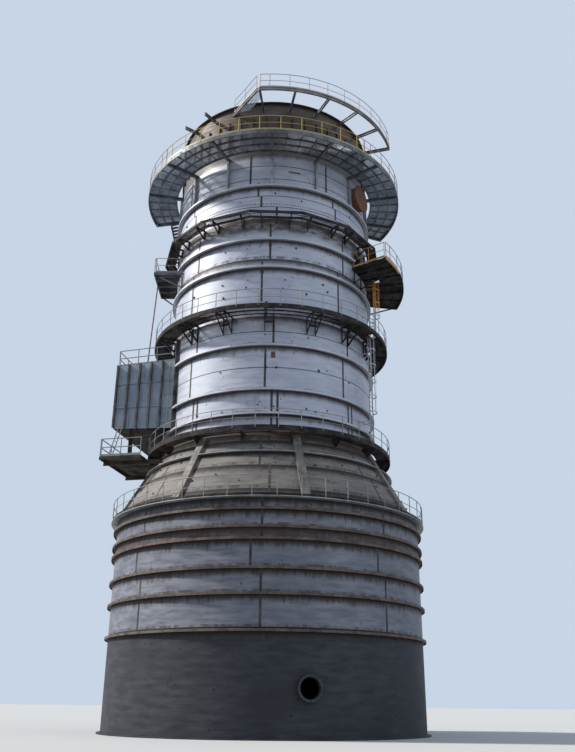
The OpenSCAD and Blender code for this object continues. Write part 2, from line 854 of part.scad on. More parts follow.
// Half hoop of a cage in welded arcs, open towards the wall, with bars to the stringers
module cage_hoop() {
    gap = arc_deg(seam, cage_r) / 2;
    arc = 180 / cage_arcs;
    side = ladder_w / 2 + stringer_t / 2 + seat;
    for (i = [0 : cage_arcs - 1]) {
        rotate([0, 0, 180 + i * arc + gap]) rotate_extrude(angle = arc - 2 * gap)
            translate([cage_r - cage_bar_t, 0]) square([cage_bar_t, stringer_w]);
    }
    for (x = [-cage_r, side]) {
        translate([x, seam, 0]) cube([cage_r - side, cage_bar_t, stringer_w]);
    }
}

// Stringer of a ladder with its two ties to the shell
module ladder_stringer(x, h) {
    inner_edge = ladder_w / 2 - stringer_t / 2;
    tie = upper_r + ladder_off - sqrt(pow(upper_r, 2) - pow(inner_edge, 2)) - seat;
    translate([x - stringer_t / 2, -stringer_w / 2, seat]) cube([stringer_t, stringer_w, h - seat]);
    for (share = ladder_tie_shares) {
        translate([x - stringer_t / 2, 0, share * h]) cube([stringer_t, tie, stringer_w]);
    }
}

// Caged ladder that stands on a deck at z0 by the shell and ends at z1
module caged_ladder(a, z0, z1) {
    h = z1 - z0;
    rungs = floor((h - rung_pitch / 2) / rung_pitch);
    low = min(cage_start, h / 3);
    hoops = max(1, floor((h - low) / hoop_pitch));
    rung_l = ladder_w - stringer_t - 2 * seat;
    strap_w = stringer_w / 2;
    strap_r = sqrt(pow(cage_r - cage_bar_t, 2) - pow(strap_w / 2, 2)) - seat;
    at_azimuth(a, upper_r + ladder_off, z0) {
        for (s = [-1, 1]) {
            ladder_stringer(s * ladder_w / 2, h);
        }
        for (i = [1 : rungs]) {
            translate([-rung_l / 2, -rung_t / 2, i * rung_pitch]) cube([rung_l, rung_t, rung_t]);
        }
        for (i = [0 : hoops]) {
            translate([0, 0, low + i * (h - low - stringer_w) / hoops]) cage_hoop();
        }
        for (turn = cage_strap_angles) {
            rotate([0, 0, turn]) translate([-strap_w / 2, -strap_r, low])
                cube([strap_w, cage_bar_t, h - low]);
        }
    }
}

module ladders() {
    color("gainsboro") {
        caged_ladder(lower_ladder_az, cone_deck_z, mid_deck_z + rail_h);
        caged_ladder(middle_ladder_az, mid_deck_z, balcony_deck_z + rail_h);
    }
}

// Steep stair from the top platform's left end down to the narrow walkway behind it
module left_stair() {
    top_point = place(upper_r + stair_off, top_a0);
    low_point = place(upper_r + stair_off, top_a0 - stair_turn);
    run = norm(low_point - top_point);
    heading = atan2(low_point[1] - top_point[1], low_point[0] - top_point[0]);
    drop = top_deck_z - narrow_deck_z;
    steps = round(drop / stair_rise);
    landing = stair_t + 2 * seat;
    color("gray")
        difference() {
            translate([top_point[0], top_point[1], top_deck_z]) rotate([0, 0, heading]) {
                for (y = [-stair_w / 2, stair_w / 2 - stair_t]) {
                    translate([0, y + stair_t, 0]) rotate([90, 0, 0]) linear_extrude(stair_t) polygon([
                        [-stair_deep, 0], [0, 0], [run, landing - drop], [run - stair_deep, landing - drop],
                        [0, -stair_deep * 2], [-stair_deep, -stair_deep * 2]
                    ]);
                }
                translate([run - stair_deep - stair_over, -stair_w / 2 - stair_over, seat - drop])
                    cube([stair_deep + 2 * stair_over, stair_w + 2 * stair_over, stair_t]);
                for (i = [1 : steps - 1]) {
                    translate([
                        i * run / steps - tread_d, -stair_w / 2 + stair_t + seat,
                        -i * drop / steps - tread_t
                    ]) cube([tread_d, stair_w - 2 * stair_t - 2 * seat, tread_t]);
                }
            }
            rotate([0, 0, top_a0]) translate([-seat, -2 * lower_r, narrow_deck_z])
                cube([lower_r, 2 * lower_r, 2 * drop]);
        }
}

module top_deck() {
    r0 = upper_r + top_gap;
    r1 = upper_r + top_reach;
    color("gray")
        sweep_lengths(top_a0, top_a1, lengths_in(top_a0, top_a1), r1) {
            band(r0, r1, top_deck_z - deck_t, top_deck_z);
            band(r1 - fascia_t, r1, top_deck_z - deck_t - top_beam_h, top_deck_z);
        }
}

// Radial beams under the top deck
module top_beams() {
    reach = top_reach - fascia_t - 2 * seat;
    for (a = top_all_beams()) {
        radial_plate(a, top_beam_w)
            translate([upper_r + seat, top_deck_z - deck_t - seat - top_beam_h]) square([reach, top_beam_h]);
    }
}

// Curved purlins between the beams
module top_purlins() {
    beams = top_all_beams();
    pitch = (top_reach - top_gap - fascia_t - purlin_w) / purlin_count;
    top = top_deck_z - deck_t - seat;
    for (i = [0 : len(beams) - 2]) {
        for (j = [0 : purlin_count - 1]) {
            r = upper_r + top_gap + j * pitch;
            half = arc_deg(top_beam_w / 2 + seat, r);
            sweep_arc(beams[i] + half, beams[i + 1] - half) band(r, r + purlin_w, top - purlin_h, top);
        }
    }
}

// Posts that stand on the last ring under the beams
module top_posts() {
    low = z_3 + ring_6_z + ring_web_t + seat;
    high = top_deck_z - deck_t - top_beam_h - 2 * seat;
    depth = upper_ring_reach - ring_flange_t - 2 * seat;
    for (a = top_all_beams()) {
        at_azimuth(a, upper_r + seat + depth, low) translate([-top_beam_w / 2, 0, 0])
            cube([top_beam_w, depth - post_back, high - low]);
    }
}

module top_frame() {
    color("gray") {
        top_beams();
        top_purlins();
        top_posts();
    }
}

module top_front_rail() {
    color("gold") arc_rail(front_rail_a0, front_rail_a1, upper_r + top_reach - fascia_t / 2, top_deck_z);
}

module top_side_rails() {
    r1 = upper_r + top_reach - fascia_t / 2;
    inset = arc_deg(rail_bar, r1);
    color("silver") {
        arc_rail(top_a0, front_rail_a0, r1, top_deck_z);
        arc_rail(front_rail_a1, top_a1 - inset, r1, top_deck_z);
        radial_rail(top_a1 - inset / 2, upper_r + top_gap, r1 - rail_bar, top_deck_z);
    }
}

module crown_stiffeners() {
    h = crown_h - crown_beam_drop - crown_beam_h - 2 * crown_margin;
    color("dimgray")
        for (i = [0 : crown_stiffener_count - 1]) {
            radial_plate((i + 0.5) * 360 / crown_stiffener_count, ring_web_t)
                translate([upper_r + seat, z_crown + crown_margin]) square([crown_stiffener_d, h]);
        }
}

module crown_rim() {
    color("gray")
        sweep_lengths(0, 360, segments, upper_r)
            band(upper_r - rim_in, upper_r + rim_reach, z_rim - rim_t, z_rim);
}

module roof() {
    color("gray")
        translate([0, 0, z_rim + seat]) rotate_extrude() polygon([
            [0, roof_rise - shell_t], [upper_r - rim_in, 0], [upper_r, 0], [upper_r, shell_t], [0, roof_rise]
        ]);
}

// Cantilever beams that carry the crown ring, and bare stubs to the left of them
module crown_beams() {
    long = crown_reach - crown_beam_w - 2 * seat;
    color("gray")
        for (i = [-crown_stub_count - 1 : crown_beam_count - 1]) {
            if (i != -1) {
                radial_plate(crown_beam_az + i * crown_beam_step, crown_beam_w)
                    translate([upper_r + seat, crown_beam_top - crown_beam_h])
                        square([i < 0 ? crown_stub_reach : long, crown_beam_h]);
            }
        }
}

// Curved ring beam with a straight end beam back to the shell
module crown_ring() {
    r1 = upper_r + crown_reach;
    half = arc_deg(crown_beam_w / 2, r1);
    a0 = crown_beam_az - half;
    a1 = crown_beam_az + (crown_beam_count - 1) * crown_beam_step + half;
    low = crown_beam_top - crown_beam_h;
    end_az = crown_beam_az - crown_end_turn;
    color("gray") {
        sweep_lengths(a0, a1, lengths_in(a0, a1), r1) band(r1 - crown_beam_w, r1, low, crown_beam_top);
        difference() {
            translate([0, 0, low]) linear_extrude(crown_beam_h) polygon([
                place(r1 - crown_beam_w, a0 - half), place(r1, a0 - half),
                place(upper_r + crown_beam_w / 2, end_az - half), place(upper_r - crown_beam_w, end_az)
            ]);
            translate([0, 0, low - 1]) cylinder(r = upper_r + seat, h = crown_beam_h + 2, $fn = fine);
            rotate([0, 0, a0]) translate([-seat, -2 * r1, low - 1]) cube([r1, 2 * r1, crown_beam_h + 2]);
        }
    }
}

// Rail along the curved ring and along its straight end beam
module crown_rail() {
    a1 = crown_beam_az + (crown_beam_count - 1) * crown_beam_step;
    r = upper_r + crown_reach - crown_beam_w / 2;
    half = arc_deg(crown_beam_w, r);
    p = place(r, crown_beam_az - half);
    q = place(upper_r + crown_beam_w, crown_beam_az - crown_end_turn);
    v = q - p;
    color("mistyrose") {
        arc_rail(crown_beam_az, a1, r, crown_beam_top);
        translate([p[0], p[1], crown_beam_top]) rotate([0, 0, atan2(v[1], v[0])])
            translate([crown_beam_w, 0, 0]) straight_rail(norm(v) - 2 * crown_beam_w);
    }
}

// Side profile of the duct in distance from the axis and height
module duct_side_profile() {
    polygon([
        [duct_end, duct_low(duct_end)], [duct_end, duct_top(duct_end)],
        [duct_inner, duct_top(duct_inner)], [duct_inner, duct_low(duct_inner)]
    ]);
}

// Side profile of the duct's bottom plate
module duct_low_profile() {
    polygon([
        [duct_end, duct_low(duct_end)], [duct_end, duct_low(duct_end) + duct_t],
        [duct_inner, duct_low(duct_inner) + duct_t], [duct_inner, duct_low(duct_inner)]
    ]);
}

// Side profile of the duct's top plate
module duct_top_profile() {
    polygon([
        [duct_end, duct_top(duct_end) - duct_t], [duct_end, duct_top(duct_end)],
        [duct_inner, duct_top(duct_inner)], [duct_inner, duct_top(duct_inner) - duct_t]
    ]);
}

// The duct's four walls, the top and the bottom in strips welded side by side
module inlet_duct() {
    strip = (duct_w - 2 * duct_t - 2 * seat) / duct_strips;
    color("lightsteelblue")
        difference() {
            rotate([0, 0, duct_az]) {
                for (s = [-1, 1]) {
                    translate([s * (duct_half - duct_t / 2), 0, 0])
                        radial_plate(0, duct_t) duct_side_profile();
                }
                for (i = [0 : duct_strips - 1]) {
                    translate([(i + 0.5 - duct_strips / 2) * strip, 0, 0]) {
                        radial_plate(0, strip - seam) duct_low_profile();
                        radial_plate(0, strip - seam) duct_top_profile();
                    }
                }
            }
            translate([0, 0, z_1]) cylinder(r = upper_r + seat, h = course_1_h, $fn = fine);
        }
}

// T-ribs up the duct's sides, bars beside the shell and fins on the shell
module duct_ribs() {
    last_d = duct_rib_d(duct_rib_count - 1) - duct_flange_w / 2 - seat;
    fin_low = z_1 + ring_1_z + (ring_web_t + ring_flange_w) / 2 + seat;
    fin_high = mid_deck_z - fascia_h - seat;
    root_low = duct_low(duct_root);
    bar_pitch = (duct_top(duct_root) - root_low) / duct_bar_levels;
    bar_l = last_d - duct_root - 2 * duct_bar_d - bracket_t;
    color("slategray") {
        rotate([0, 0, duct_az])
            for (s = [-1, 1]) {
                for (i = [0 : duct_rib_count - 1]) {
                    duct_rib(s, duct_rib_d(i));
                }
                for (i = [0 : duct_bar_levels - 1]) {
                    x = s > 0 ? duct_half + seat : -duct_half - seat - duct_bar_d;
                    translate([x, -last_d, root_low + (i + 0.5) * bar_pitch])
                        cube([duct_bar_d, bar_l, duct_bar_t]);
                }
            }
        for (s = [-1, 1]) {
            radial_plate(duct_az + s * duct_fin_half, bracket_t)
                translate([upper_r + seat, fin_low]) square([upper_ring_reach, fin_high - fin_low]);
        }
    }
}

// One rib on side s at distance d from the axis
module duct_rib(s, d) {
    h = duct_top(d) - duct_low(d);
    web_x = s > 0 ? duct_half + seat : -duct_half - seat - duct_rib_depth;
    flange_x = s > 0 ? duct_half + seat + duct_rib_depth - duct_t : web_x;
    translate([web_x, -d - duct_t / 2, duct_low(d)]) cube([duct_rib_depth, duct_t, h]);
    translate([flange_x, -d - duct_flange_w / 2, duct_low(d)]) cube([duct_t, duct_flange_w, h]);
}

// Rails along the near side and the outer end of the duct's top, which slopes
module duct_top_rail() {
    length = duct_end - duct_root - 4 * duct_bar_d;
    rotate([0, 0, duct_az]) translate([0, -duct_end, duct_top(duct_end)]) rotate([atan(duct_slope), 0, 0])
        translate([duct_half - rail_bar, rail_bar, 0]) {
            rotate([0, 0, 90]) straight_rail(length);
            translate([-rail_bar / 2 - seam, -rail_bar / 2, 0]) rotate([0, 0, 180]) straight_rail(duct_half);
        }
}

module duct_balcony_deck() {
    difference() {
        rotate([0, 0, duct_az]) translate([duct_balcony_x, -duct_end, duct_deck_z - fascia_h]) difference() {
            cube([duct_balcony_l, duct_balcony_w, fascia_h]);
            translate([fascia_t, fascia_t, -deck_t])
                cube([duct_balcony_l - 2 * fascia_t, duct_balcony_w, fascia_h]);
        }
        translate([0, 0, z_cone]) cylinder(
            r1 = lower_r + cone_rib_depth + seat, r2 = upper_r + cone_rib_depth + seat, h = cone_h, $fn = fine
        );
    }
}

// Two beams from the cone and the post that hangs from the duct
module duct_balcony_frame() {
    post_d = (duct_rib_d(1) + duct_rib_d(2)) / 2;
    post_low = duct_deck_z + seat;
    post_high = duct_low(post_d) - duct_slope * duct_post_w / 2 - seat;
    difference() {
        rotate([0, 0, duct_az])
            for (share = duct_beam_shares) {
                translate([
                    duct_balcony_x + share * duct_balcony_l - top_beam_w / 2,
                    fascia_t - duct_end, duct_deck_z - fascia_h - seat - top_beam_h
                ]) cube([top_beam_w, duct_end / 2, top_beam_h]);
            }
        translate([0, 0, z_cone]) cylinder(r1 = lower_r + seat, r2 = upper_r + seat, h = cone_h, $fn = fine);
    }
    rotate([0, 0, duct_az])
        translate([duct_half - duct_t - duct_post_w, -post_d - duct_post_w / 2, post_low])
            cube([duct_post_w, duct_post_w, post_high - post_low]);
}

module duct_balcony() {
    color("saddlebrown") {
        duct_balcony_deck();
        duct_balcony_frame();
    }
}

module duct_rails() {
    color("silver") {
        duct_top_rail();
        rotate([0, 0, duct_az]) translate([duct_balcony_x, rail_bar - duct_end, duct_deck_z]) {
            straight_rail(duct_balcony_l);
            translate([duct_balcony_l - rail_bar / 2, rail_bar / 2 + seam, 0]) rotate([0, 0, 90])
                straight_rail(duct_balcony_w - 2 * rail_bar);
        }
    }
}

// Leaning ladder from the balcony to the ribs on the duct's near side
module duct_ladder() {
    x0 = duct_half + duct_rib_depth + 2 * seat;
    top_d = duct_rib_d(1);
    foot_d = top_d + ladder_lean;
    low = duct_deck_z + seat;
    high = duct_low(top_d) + ladder_over;
    rise = high - duct_deck_z;
    rungs = floor(rise / rung_pitch);
    color("lightgray")
        rotate([0, 0, duct_az]) {
            for (x = [x0, x0 + ladder_w - stringer_t]) {
                translate([x + stringer_t / 2, 0, 0]) radial_plate(0, stringer_t) polygon([
                    [foot_d, low], [foot_d + stringer_w, low], [top_d + stringer_w, high], [top_d, high]
                ]);
            }
            for (i = [1 : rungs - 1]) {
                d = top_d + ladder_lean * (1 - i / rungs) + stringer_w / 2;
                translate([x0 + stringer_t / 2, -d - rung_t / 2, duct_deck_z + rise * i / rungs])
                    cube([ladder_w - stringer_t, rung_t, rung_t]);
            }
        }
}

// Round bar of radius r from point p to point q
module rod(p, q, r) {
    v = q - p;
    translate(p) rotate([0, acos(v[2] / norm(v)), atan2(v[1], v[0])])
        cylinder(r = r, h = norm(v), $fn = small);
}

// Slender strut from the duct's top to the left balcony's edge channel
module balcony_strut() {
    foot = beside(strut_foot_d, duct_half - duct_flange_w, duct_az);
    head = beside(left_balcony_d - fascia_t / 2, strut_head_x, left_balcony_az);
    foot_z = duct_top(strut_foot_d - strut_r) + seat;
    head_z = balcony_deck_z - fascia_h - seat;
    side = norm(head - foot);
    lift = strut_r * side / norm([side, head_z - foot_z]);
    color("maroon") rod(concat(foot, [foot_z + lift]), concat(head, [head_z - lift]), strut_r);
}

base_ring();
skirt();
skirt_manway();
floor_plate();
lower_shell();
lower_rings();
shoulder_walkway();
shoulder_rail();
cone_shell();
cone_ring();
cone_ribs();
cone_walkway();
cone_walkway_rail();
inlet_course();
second_course();
third_course();
crown_shell();
upper_rings();
mid_walkway();
mid_walkway_rail();
narrow_walkway();
left_balcony();
left_balcony_rail();
right_balcony();
right_balcony_rail();
doorway_frame();
side_nozzle();
ladders();
left_stair();
top_deck();
top_frame();
top_front_rail();
top_side_rails();
crown_stiffeners();
crown_rim();
roof();
crown_beams();
crown_ring();
crown_rail();
inlet_duct();
duct_ribs();
duct_rails();
duct_balcony();
duct_ladder();
balcony_strut();
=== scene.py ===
import random
from math import asin, atan2, ceil, copysign, cos, degrees, hypot, pi, radians, sin, sqrt, tan

import bmesh
import bpy
from mathutils import Matrix, Vector


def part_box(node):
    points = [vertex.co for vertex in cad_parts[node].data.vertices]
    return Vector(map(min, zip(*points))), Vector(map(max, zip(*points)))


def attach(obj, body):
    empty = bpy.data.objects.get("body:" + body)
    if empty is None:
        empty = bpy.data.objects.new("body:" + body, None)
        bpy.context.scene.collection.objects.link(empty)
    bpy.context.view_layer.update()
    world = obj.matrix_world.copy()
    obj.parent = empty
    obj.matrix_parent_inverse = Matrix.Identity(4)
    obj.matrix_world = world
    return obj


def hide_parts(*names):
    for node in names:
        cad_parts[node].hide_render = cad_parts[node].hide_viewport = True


# Azimuths are degrees round the column from the front (-Y) and grow towards +X. Lengths are metres.

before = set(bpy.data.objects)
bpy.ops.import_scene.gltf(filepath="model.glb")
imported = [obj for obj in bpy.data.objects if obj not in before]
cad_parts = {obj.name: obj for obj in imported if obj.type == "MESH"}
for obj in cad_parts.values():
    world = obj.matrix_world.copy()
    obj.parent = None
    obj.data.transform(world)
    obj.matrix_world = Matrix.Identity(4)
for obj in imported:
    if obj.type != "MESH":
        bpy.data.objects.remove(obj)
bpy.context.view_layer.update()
random.seed(7)

# Places read from the frame

SHELL_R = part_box("second_course")[1].x
LOWER_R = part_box("lower_shell")[1].x
Z_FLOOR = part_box("floor_plate")[0].z
Z_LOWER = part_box("lower_shell")[0].z
Z_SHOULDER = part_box("lower_shell")[1].z
Z_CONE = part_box("cone_shell")[0].z
Z_1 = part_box("inlet_course")[0].z
Z_2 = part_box("second_course")[0].z
Z_3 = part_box("third_course")[0].z
Z_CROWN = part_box("crown_shell")[0].z
Z_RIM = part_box("crown_rim")[1].z
CONE_DECK_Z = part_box("cone_walkway")[1].z
MID_DECK_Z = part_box("mid_walkway")[1].z
NARROW_DECK_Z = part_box("narrow_walkway")[1].z
TOP_DECK_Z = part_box("top_deck")[1].z
RIGHT_DECK_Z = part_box("right_balcony")[1].z
LEFT_DECK_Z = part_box("left_balcony")[1].z
DUCT_DECK_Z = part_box("duct_rails")[0].z
CROWN_BEAM_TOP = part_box("crown_beams")[1].z
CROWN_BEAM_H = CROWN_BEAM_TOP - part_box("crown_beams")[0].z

# Plan of the platforms, as in the solids

SEAT = 0.0003
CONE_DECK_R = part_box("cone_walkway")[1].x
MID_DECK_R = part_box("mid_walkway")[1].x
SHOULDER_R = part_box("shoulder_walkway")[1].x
TOP_R = SHELL_R + 2.46
TOP_IN_R = SHELL_R + 0.42
TOP_A0, TOP_A1 = -103.0, 115.0
FRONT_A0, FRONT_A1 = -52.0, 42.0
TOP_DIVISIONS = 14
TOP_BEAM_H, TOP_BEAM_W = 0.24, 0.12
FASCIA_T = 0.06
DECK_T = 0.04
DECK_GAP = 0.12
RAIL_H = 1.1
RING_6_Z, RING_T = Z_3 + 5.3, 0.024
RIGHT_A0, RIGHT_A1 = 53.5, 101.5
RIGHT_R = SHELL_R + 2.53
CROWN_AZ, CROWN_STEP, CROWN_COUNT = -5.7, 15.6, 6
CROWN_R = SHELL_R + 2.14
CROWN_END_TURN = 19.0
CROWN_BEAM_W = 0.12
DUCT_AZ = -102.0
CONE_SLOPE = (LOWER_R - SHELL_R) / (Z_1 - Z_CONE)
CONE_ROUNDS = [Z_CONE + z for z in (0.5, 2.01, 3.66)]
FLAT_T, FLANGE_T = 0.012, 0.018


def middles(start, end, count):
    """Middles of equal parts between two values."""
    return [start + (i + 0.5) * (end - start) / count for i in range(count)]


def polar(azimuth, radius, z=0.0):
    """Point at an azimuth in degrees, a radius and a height."""
    a = radians(azimuth)
    return Vector((radius * sin(a), -radius * cos(a), z))


def facing(azimuth, radius=0.0, z=0.0):
    """Frame at that place with X to the right, Y towards the axis and Z up."""
    return Matrix.Translation(polar(azimuth, radius, z)) @ Matrix.Rotation(radians(azimuth), 4, "Z")


def shifted(place, x=0.0, y=0.0, z=0.0):
    return place @ Matrix.Translation((x, y, z))


def cone_r(z):
    """Radius of the cone's surface at height z."""
    return LOWER_R - (z - Z_CONE) * CONE_SLOPE


def shell_y(x, clear=SEAT):
    """How far before the axis the upper shell stands at x to the side, and a clearance."""
    return sqrt(SHELL_R ** 2 - x ** 2) + clear


def cone_y(x, z, reach, clear=SEAT):
    """The same for a circle that reaches out from the cone at height z."""
    return sqrt(max((cone_r(z) + reach) ** 2 - x ** 2, 0.0)) + clear


# Meshes

SHARP = 35.0


def linked(name, data):
    """Object of the scene that holds a mesh, a light or a camera."""
    obj = bpy.data.objects.new(name, data)
    bpy.context.scene.collection.objects.link(obj)
    return obj


class Shape:
    """Collects many small solids into one mesh."""

    def __init__(self):
        self.points = []
        self.faces = []

    def add(self, points, faces):
        first = len(self.points)
        self.points.extend(points)
        self.faces.extend(tuple(first + i for i in face) for face in faces)

    def box(self, place, size, centre=(0, 0, 0)):
        """Block of a size round a centre, in the frame of place."""
        half = [s / 2 for s in size]
        points = [
            place @ Vector((centre[0] + x * half[0], centre[1] + y * half[1], centre[2] + z * half[2]))
            for x in (-1, 1) for y in (-1, 1) for z in (-1, 1)
        ]
        self.add(points, [(0, 1, 3, 2), (4, 6, 7, 5), (0, 4, 5, 1), (2, 3, 7, 6), (0, 2, 6, 4), (1, 5, 7, 3)])

    def loft(self, rings, closed=False):
        """Skin over rings of equally many points, with end caps unless it is closed."""
        n = len(rings[0])
        faces = []
        spans = len(rings) if closed else len(rings) - 1
        for i in range(spans):
            a, b = i * n, (i + 1) % len(rings) * n
            faces.extend((a + k, a + (k + 1) % n, b + (k + 1) % n, b + k) for k in range(n))
        if not closed:
            faces.append(tuple(reversed(range(n))))
            faces.append(tuple((len(rings) - 1) * n + k for k in range(n)))
        self.add([p for ring in rings for p in ring], faces)

    def sweep(self, profile, a0=0, a1=360, step=2.0):
        """Profile of radius and height points, swept between two azimuths."""
        full = a1 - a0 >= 360
        count = max(1, ceil((a1 - a0) / step))
        stops = count if full else count + 1
        rings = [[polar(a0 + i * (a1 - a0) / count, r, z) for r, z in profile] for i in range(stops)]
        self.loft(rings, closed=full)

    def band(self, r0, r1, z0, z1, a0=0, a1=360, step=2.0):
        """Rectangle between two radii and two heights, swept between two azimuths."""
        self.sweep([(r0, z0), (r1, z0), (r1, z1), (r0, z1)], a0, a1, step)

    def tube(self, path, radius, sides=8, closed=False):
        """Round bar along a path."""
        rings = []
        last = len(path) - 1
        for i, p in enumerate(path):
            before = path[i - 1] if i > 0 or closed else p
            after = path[(i + 1) % len(path)] if i < last or closed else p
            along = (after - before).normalized()
            side = along.cross(Vector((0, 0, 1)))
            side = side.normalized() if side.length > 1e-4 else Vector((1, 0, 0))
            up = side.cross(along)
            rings.append([
                p + radius * (cos(t) * side + sin(t) * up)
                for t in (2 * pi * k / sides for k in range(sides))
            ])
        self.loft(rings, closed)

    def prism(self, place, outline, start, end, axis=1):
        """Outline across an axis of place (X 0, Y 1, Z 2), run along it from start to end."""
        self.loft([[place @ Vector((*p[:axis], s, *p[axis:])) for p in outline] for s in (start, end)])

    def plate(self, place, outline, thickness):
        """Flat outline of Y and Z in the frame of place, as thick along X as given."""
        self.prism(place, outline, -thickness / 2, thickness / 2, 0)

    def bolt(self, place, across=0.05, height=0.03):
        """Hexagon head on the plane of place, standing out along -Y."""
        corners = [radians(60 * k) for k in range(6)]
        outline = [(across / 2 * cos(t), across / 2 * sin(t)) for t in corners]
        self.prism(place, outline, 0.0, -height)

    def linked(self, name, material):
        """Mesh object of everything collected."""
        mesh = bpy.data.meshes.new(name)
        mesh.from_pydata([tuple(p) for p in self.points], [], self.faces)
        solid = bmesh.new()
        solid.from_mesh(mesh)
        bmesh.ops.recalc_face_normals(solid, faces=solid.faces)
        solid.to_mesh(mesh)
        solid.free()
        mesh.polygons.foreach_set("use_smooth", [True] * len(mesh.polygons))
        mesh.set_sharp_from_angle(angle=radians(SHARP))
        mesh.materials.append(material)
        return linked(name, mesh)

    def make(self, name, material, replaces=(), slot="galvanised_steel"):
        """The same as a piece that rides on the column."""
        obj = self.linked(name, material)
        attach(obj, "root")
        if replaces:
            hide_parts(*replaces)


def i_outline(width, height, web, flange):
    """Outline of an I-section round the origin."""
    x, t, z, f = width / 2, web / 2, height / 2, height / 2 - flange
    right = [(x, -z), (x, -f), (t, -f), (t, f), (x, f), (x, z)]
    left = [(-x, z), (-x, f), (-t, f), (-t, -f), (-x, -f)]
    return [(-x, -z)] + right + left


def c_outline(x0, x1, z0, z1, t):
    """Outline of a channel whose web is at x1 and whose flanges reach back to x0."""
    web = x1 - copysign(t, x1 - x0)
    inside = [(x0, z1 - t), (web, z1 - t), (web, z0 + t), (x0, z0 + t)]
    return [(x0, z0), (x1, z0), (x1, z1), (x0, z1)] + inside


def angle_outline(x, z, reach, height, t):
    """Outline of an angle that runs sideways from x and turns up at its end."""
    end = x + reach
    inside = end - copysign(t, reach)
    return [(x, z), (end, z), (end, z + height), (inside, z + height), (inside, z + t), (x, z + t)]


def moved(outline, x, z):
    """Outline set off sideways and up."""
    return [(p + x, q + z) for p, q in outline]


# Finishes


def rgba(colour):
    """Colour with its alpha, or the socket that gives it."""
    return colour if isinstance(colour, bpy.types.NodeSocket) else (*colour, 1.0)


def darker(colour, share):
    return tuple(c * share for c in colour)


def add_node(tree, kind, inputs=(), **settings):
    """Node with its inputs linked to a socket or set to a value."""
    node = tree.nodes.new(kind)
    for key, value in settings.items():
        setattr(node, key, value)
    for key, value in inputs:
        if isinstance(value, bpy.types.NodeSocket):
            tree.links.new(value, node.inputs[key])
        else:
            node.inputs[key].default_value = value
    return node


class Finish:
    """Node material built from few kinds of node. Places are the mesh's own, in metres."""

    def __init__(self, name, metallic, roughness, gloss=0.5):
        self.material = bpy.data.materials.new(name)
        self.material.use_nodes = True
        self.tree = self.material.node_tree
        self.shader = self.tree.nodes["Principled BSDF"]
        for key, value in (("Metallic", metallic), ("Roughness", roughness), ("Specular IOR Level", gloss)):
            self.shader.inputs[key].default_value = value
        self.place = self.tree.nodes.new("ShaderNodeTexCoord").outputs["Object"]

    def node(self, kind, inputs=(), **settings):
        return add_node(self.tree, kind, inputs, **settings)

    def scaled(self, stretch):
        """The place stretched along each axis."""
        return self.node("ShaderNodeMapping", [("Vector", self.place), ("Scale", stretch)]).outputs["Vector"]

    def noise(self, scale, detail=4.0, stretch=(1, 1, 1), rough=0.55):
        vector = self.scaled(stretch) if stretch != (1, 1, 1) else self.place
        return self.node("ShaderNodeTexNoise", [
            ("Vector", vector), ("Scale", scale), ("Detail", detail), ("Roughness", rough)
        ]).outputs["Fac"]

    def spots(self, scale, stretch=(1, 1, 1)):
        """Distance to the nearest of many scattered points."""
        return self.node("ShaderNodeTexVoronoi", [
            ("Vector", self.scaled(stretch)), ("Scale", scale)
        ]).outputs["Distance"]

    def span(self, value, low, high, out_low=0.0, out_high=1.0):
        return self.node("ShaderNodeMapRange", [
            ("Value", value), ("From Min", low), ("From Max", high), ("To Min", out_low), ("To Max", out_high)
        ], interpolation_type="SMOOTHSTEP").outputs["Result"]

    def cloud(self, scale, detail, low, high, share=1.0, stretch=(1, 1, 1), rough=0.55):
        """Mask that goes from 0 to its share where the noise goes from low to high."""
        return self.span(self.noise(scale, detail, stretch, rough), low, high, 0.0, share)

    def maths(self, operation, a, b=0.0):
        return self.node("ShaderNodeMath", [(0, a), (1, b)], operation=operation).outputs["Value"]

    def times(self, a, b):
        return self.maths("MULTIPLY", a, b)

    def mix(self, factor, a, b):
        """Colour a where the factor is 0 and b where it is 1."""
        inputs = [(0, factor), (6, rgba(a)), (7, rgba(b))]
        return self.node("ShaderNodeMix", inputs, data_type="RGBA").outputs[2]

    def height(self):
        return self.node("ShaderNodeSeparateXYZ", [("Vector", self.place)]).outputs["Z"]

    def below(self, levels, depth):
        """Mask that fades out downwards from each of several heights."""
        z = self.height()
        total = None
        for level in levels:
            edge = self.span(z, level + LEVEL_BLUR, level - LEVEL_BLUR)
            band = self.times(edge, self.span(z, level - depth, level))
            total = band if total is None else self.maths("MAXIMUM", total, band)
        return total

    def colour(self, value):
        self.tree.links.new(value, self.shader.inputs["Base Color"])

    def finished(self, colour, wear, rough_low, rough_high, relief, distance, strength):
        """The material, with its colour, and roughness and bump that follow two noises."""
        self.colour(colour)
        rough = self.span(wear, 0.3, 0.7, rough_low, rough_high)
        inputs = [("Height", relief), ("Distance", distance), ("Strength", strength)]
        bump = self.node("ShaderNodeBump", inputs)
        self.tree.links.new(rough, self.shader.inputs["Roughness"])
        self.tree.links.new(bump.outputs["Normal"], self.shader.inputs["Normal"])
        return self.material


LEVEL_BLUR = 0.02
# How far the painted shadow under each ring fades down.
RING_SHADOW_DEPTH = 0.5
COLLAR_UP, COLLAR_DEPTH = 0.22, 0.6


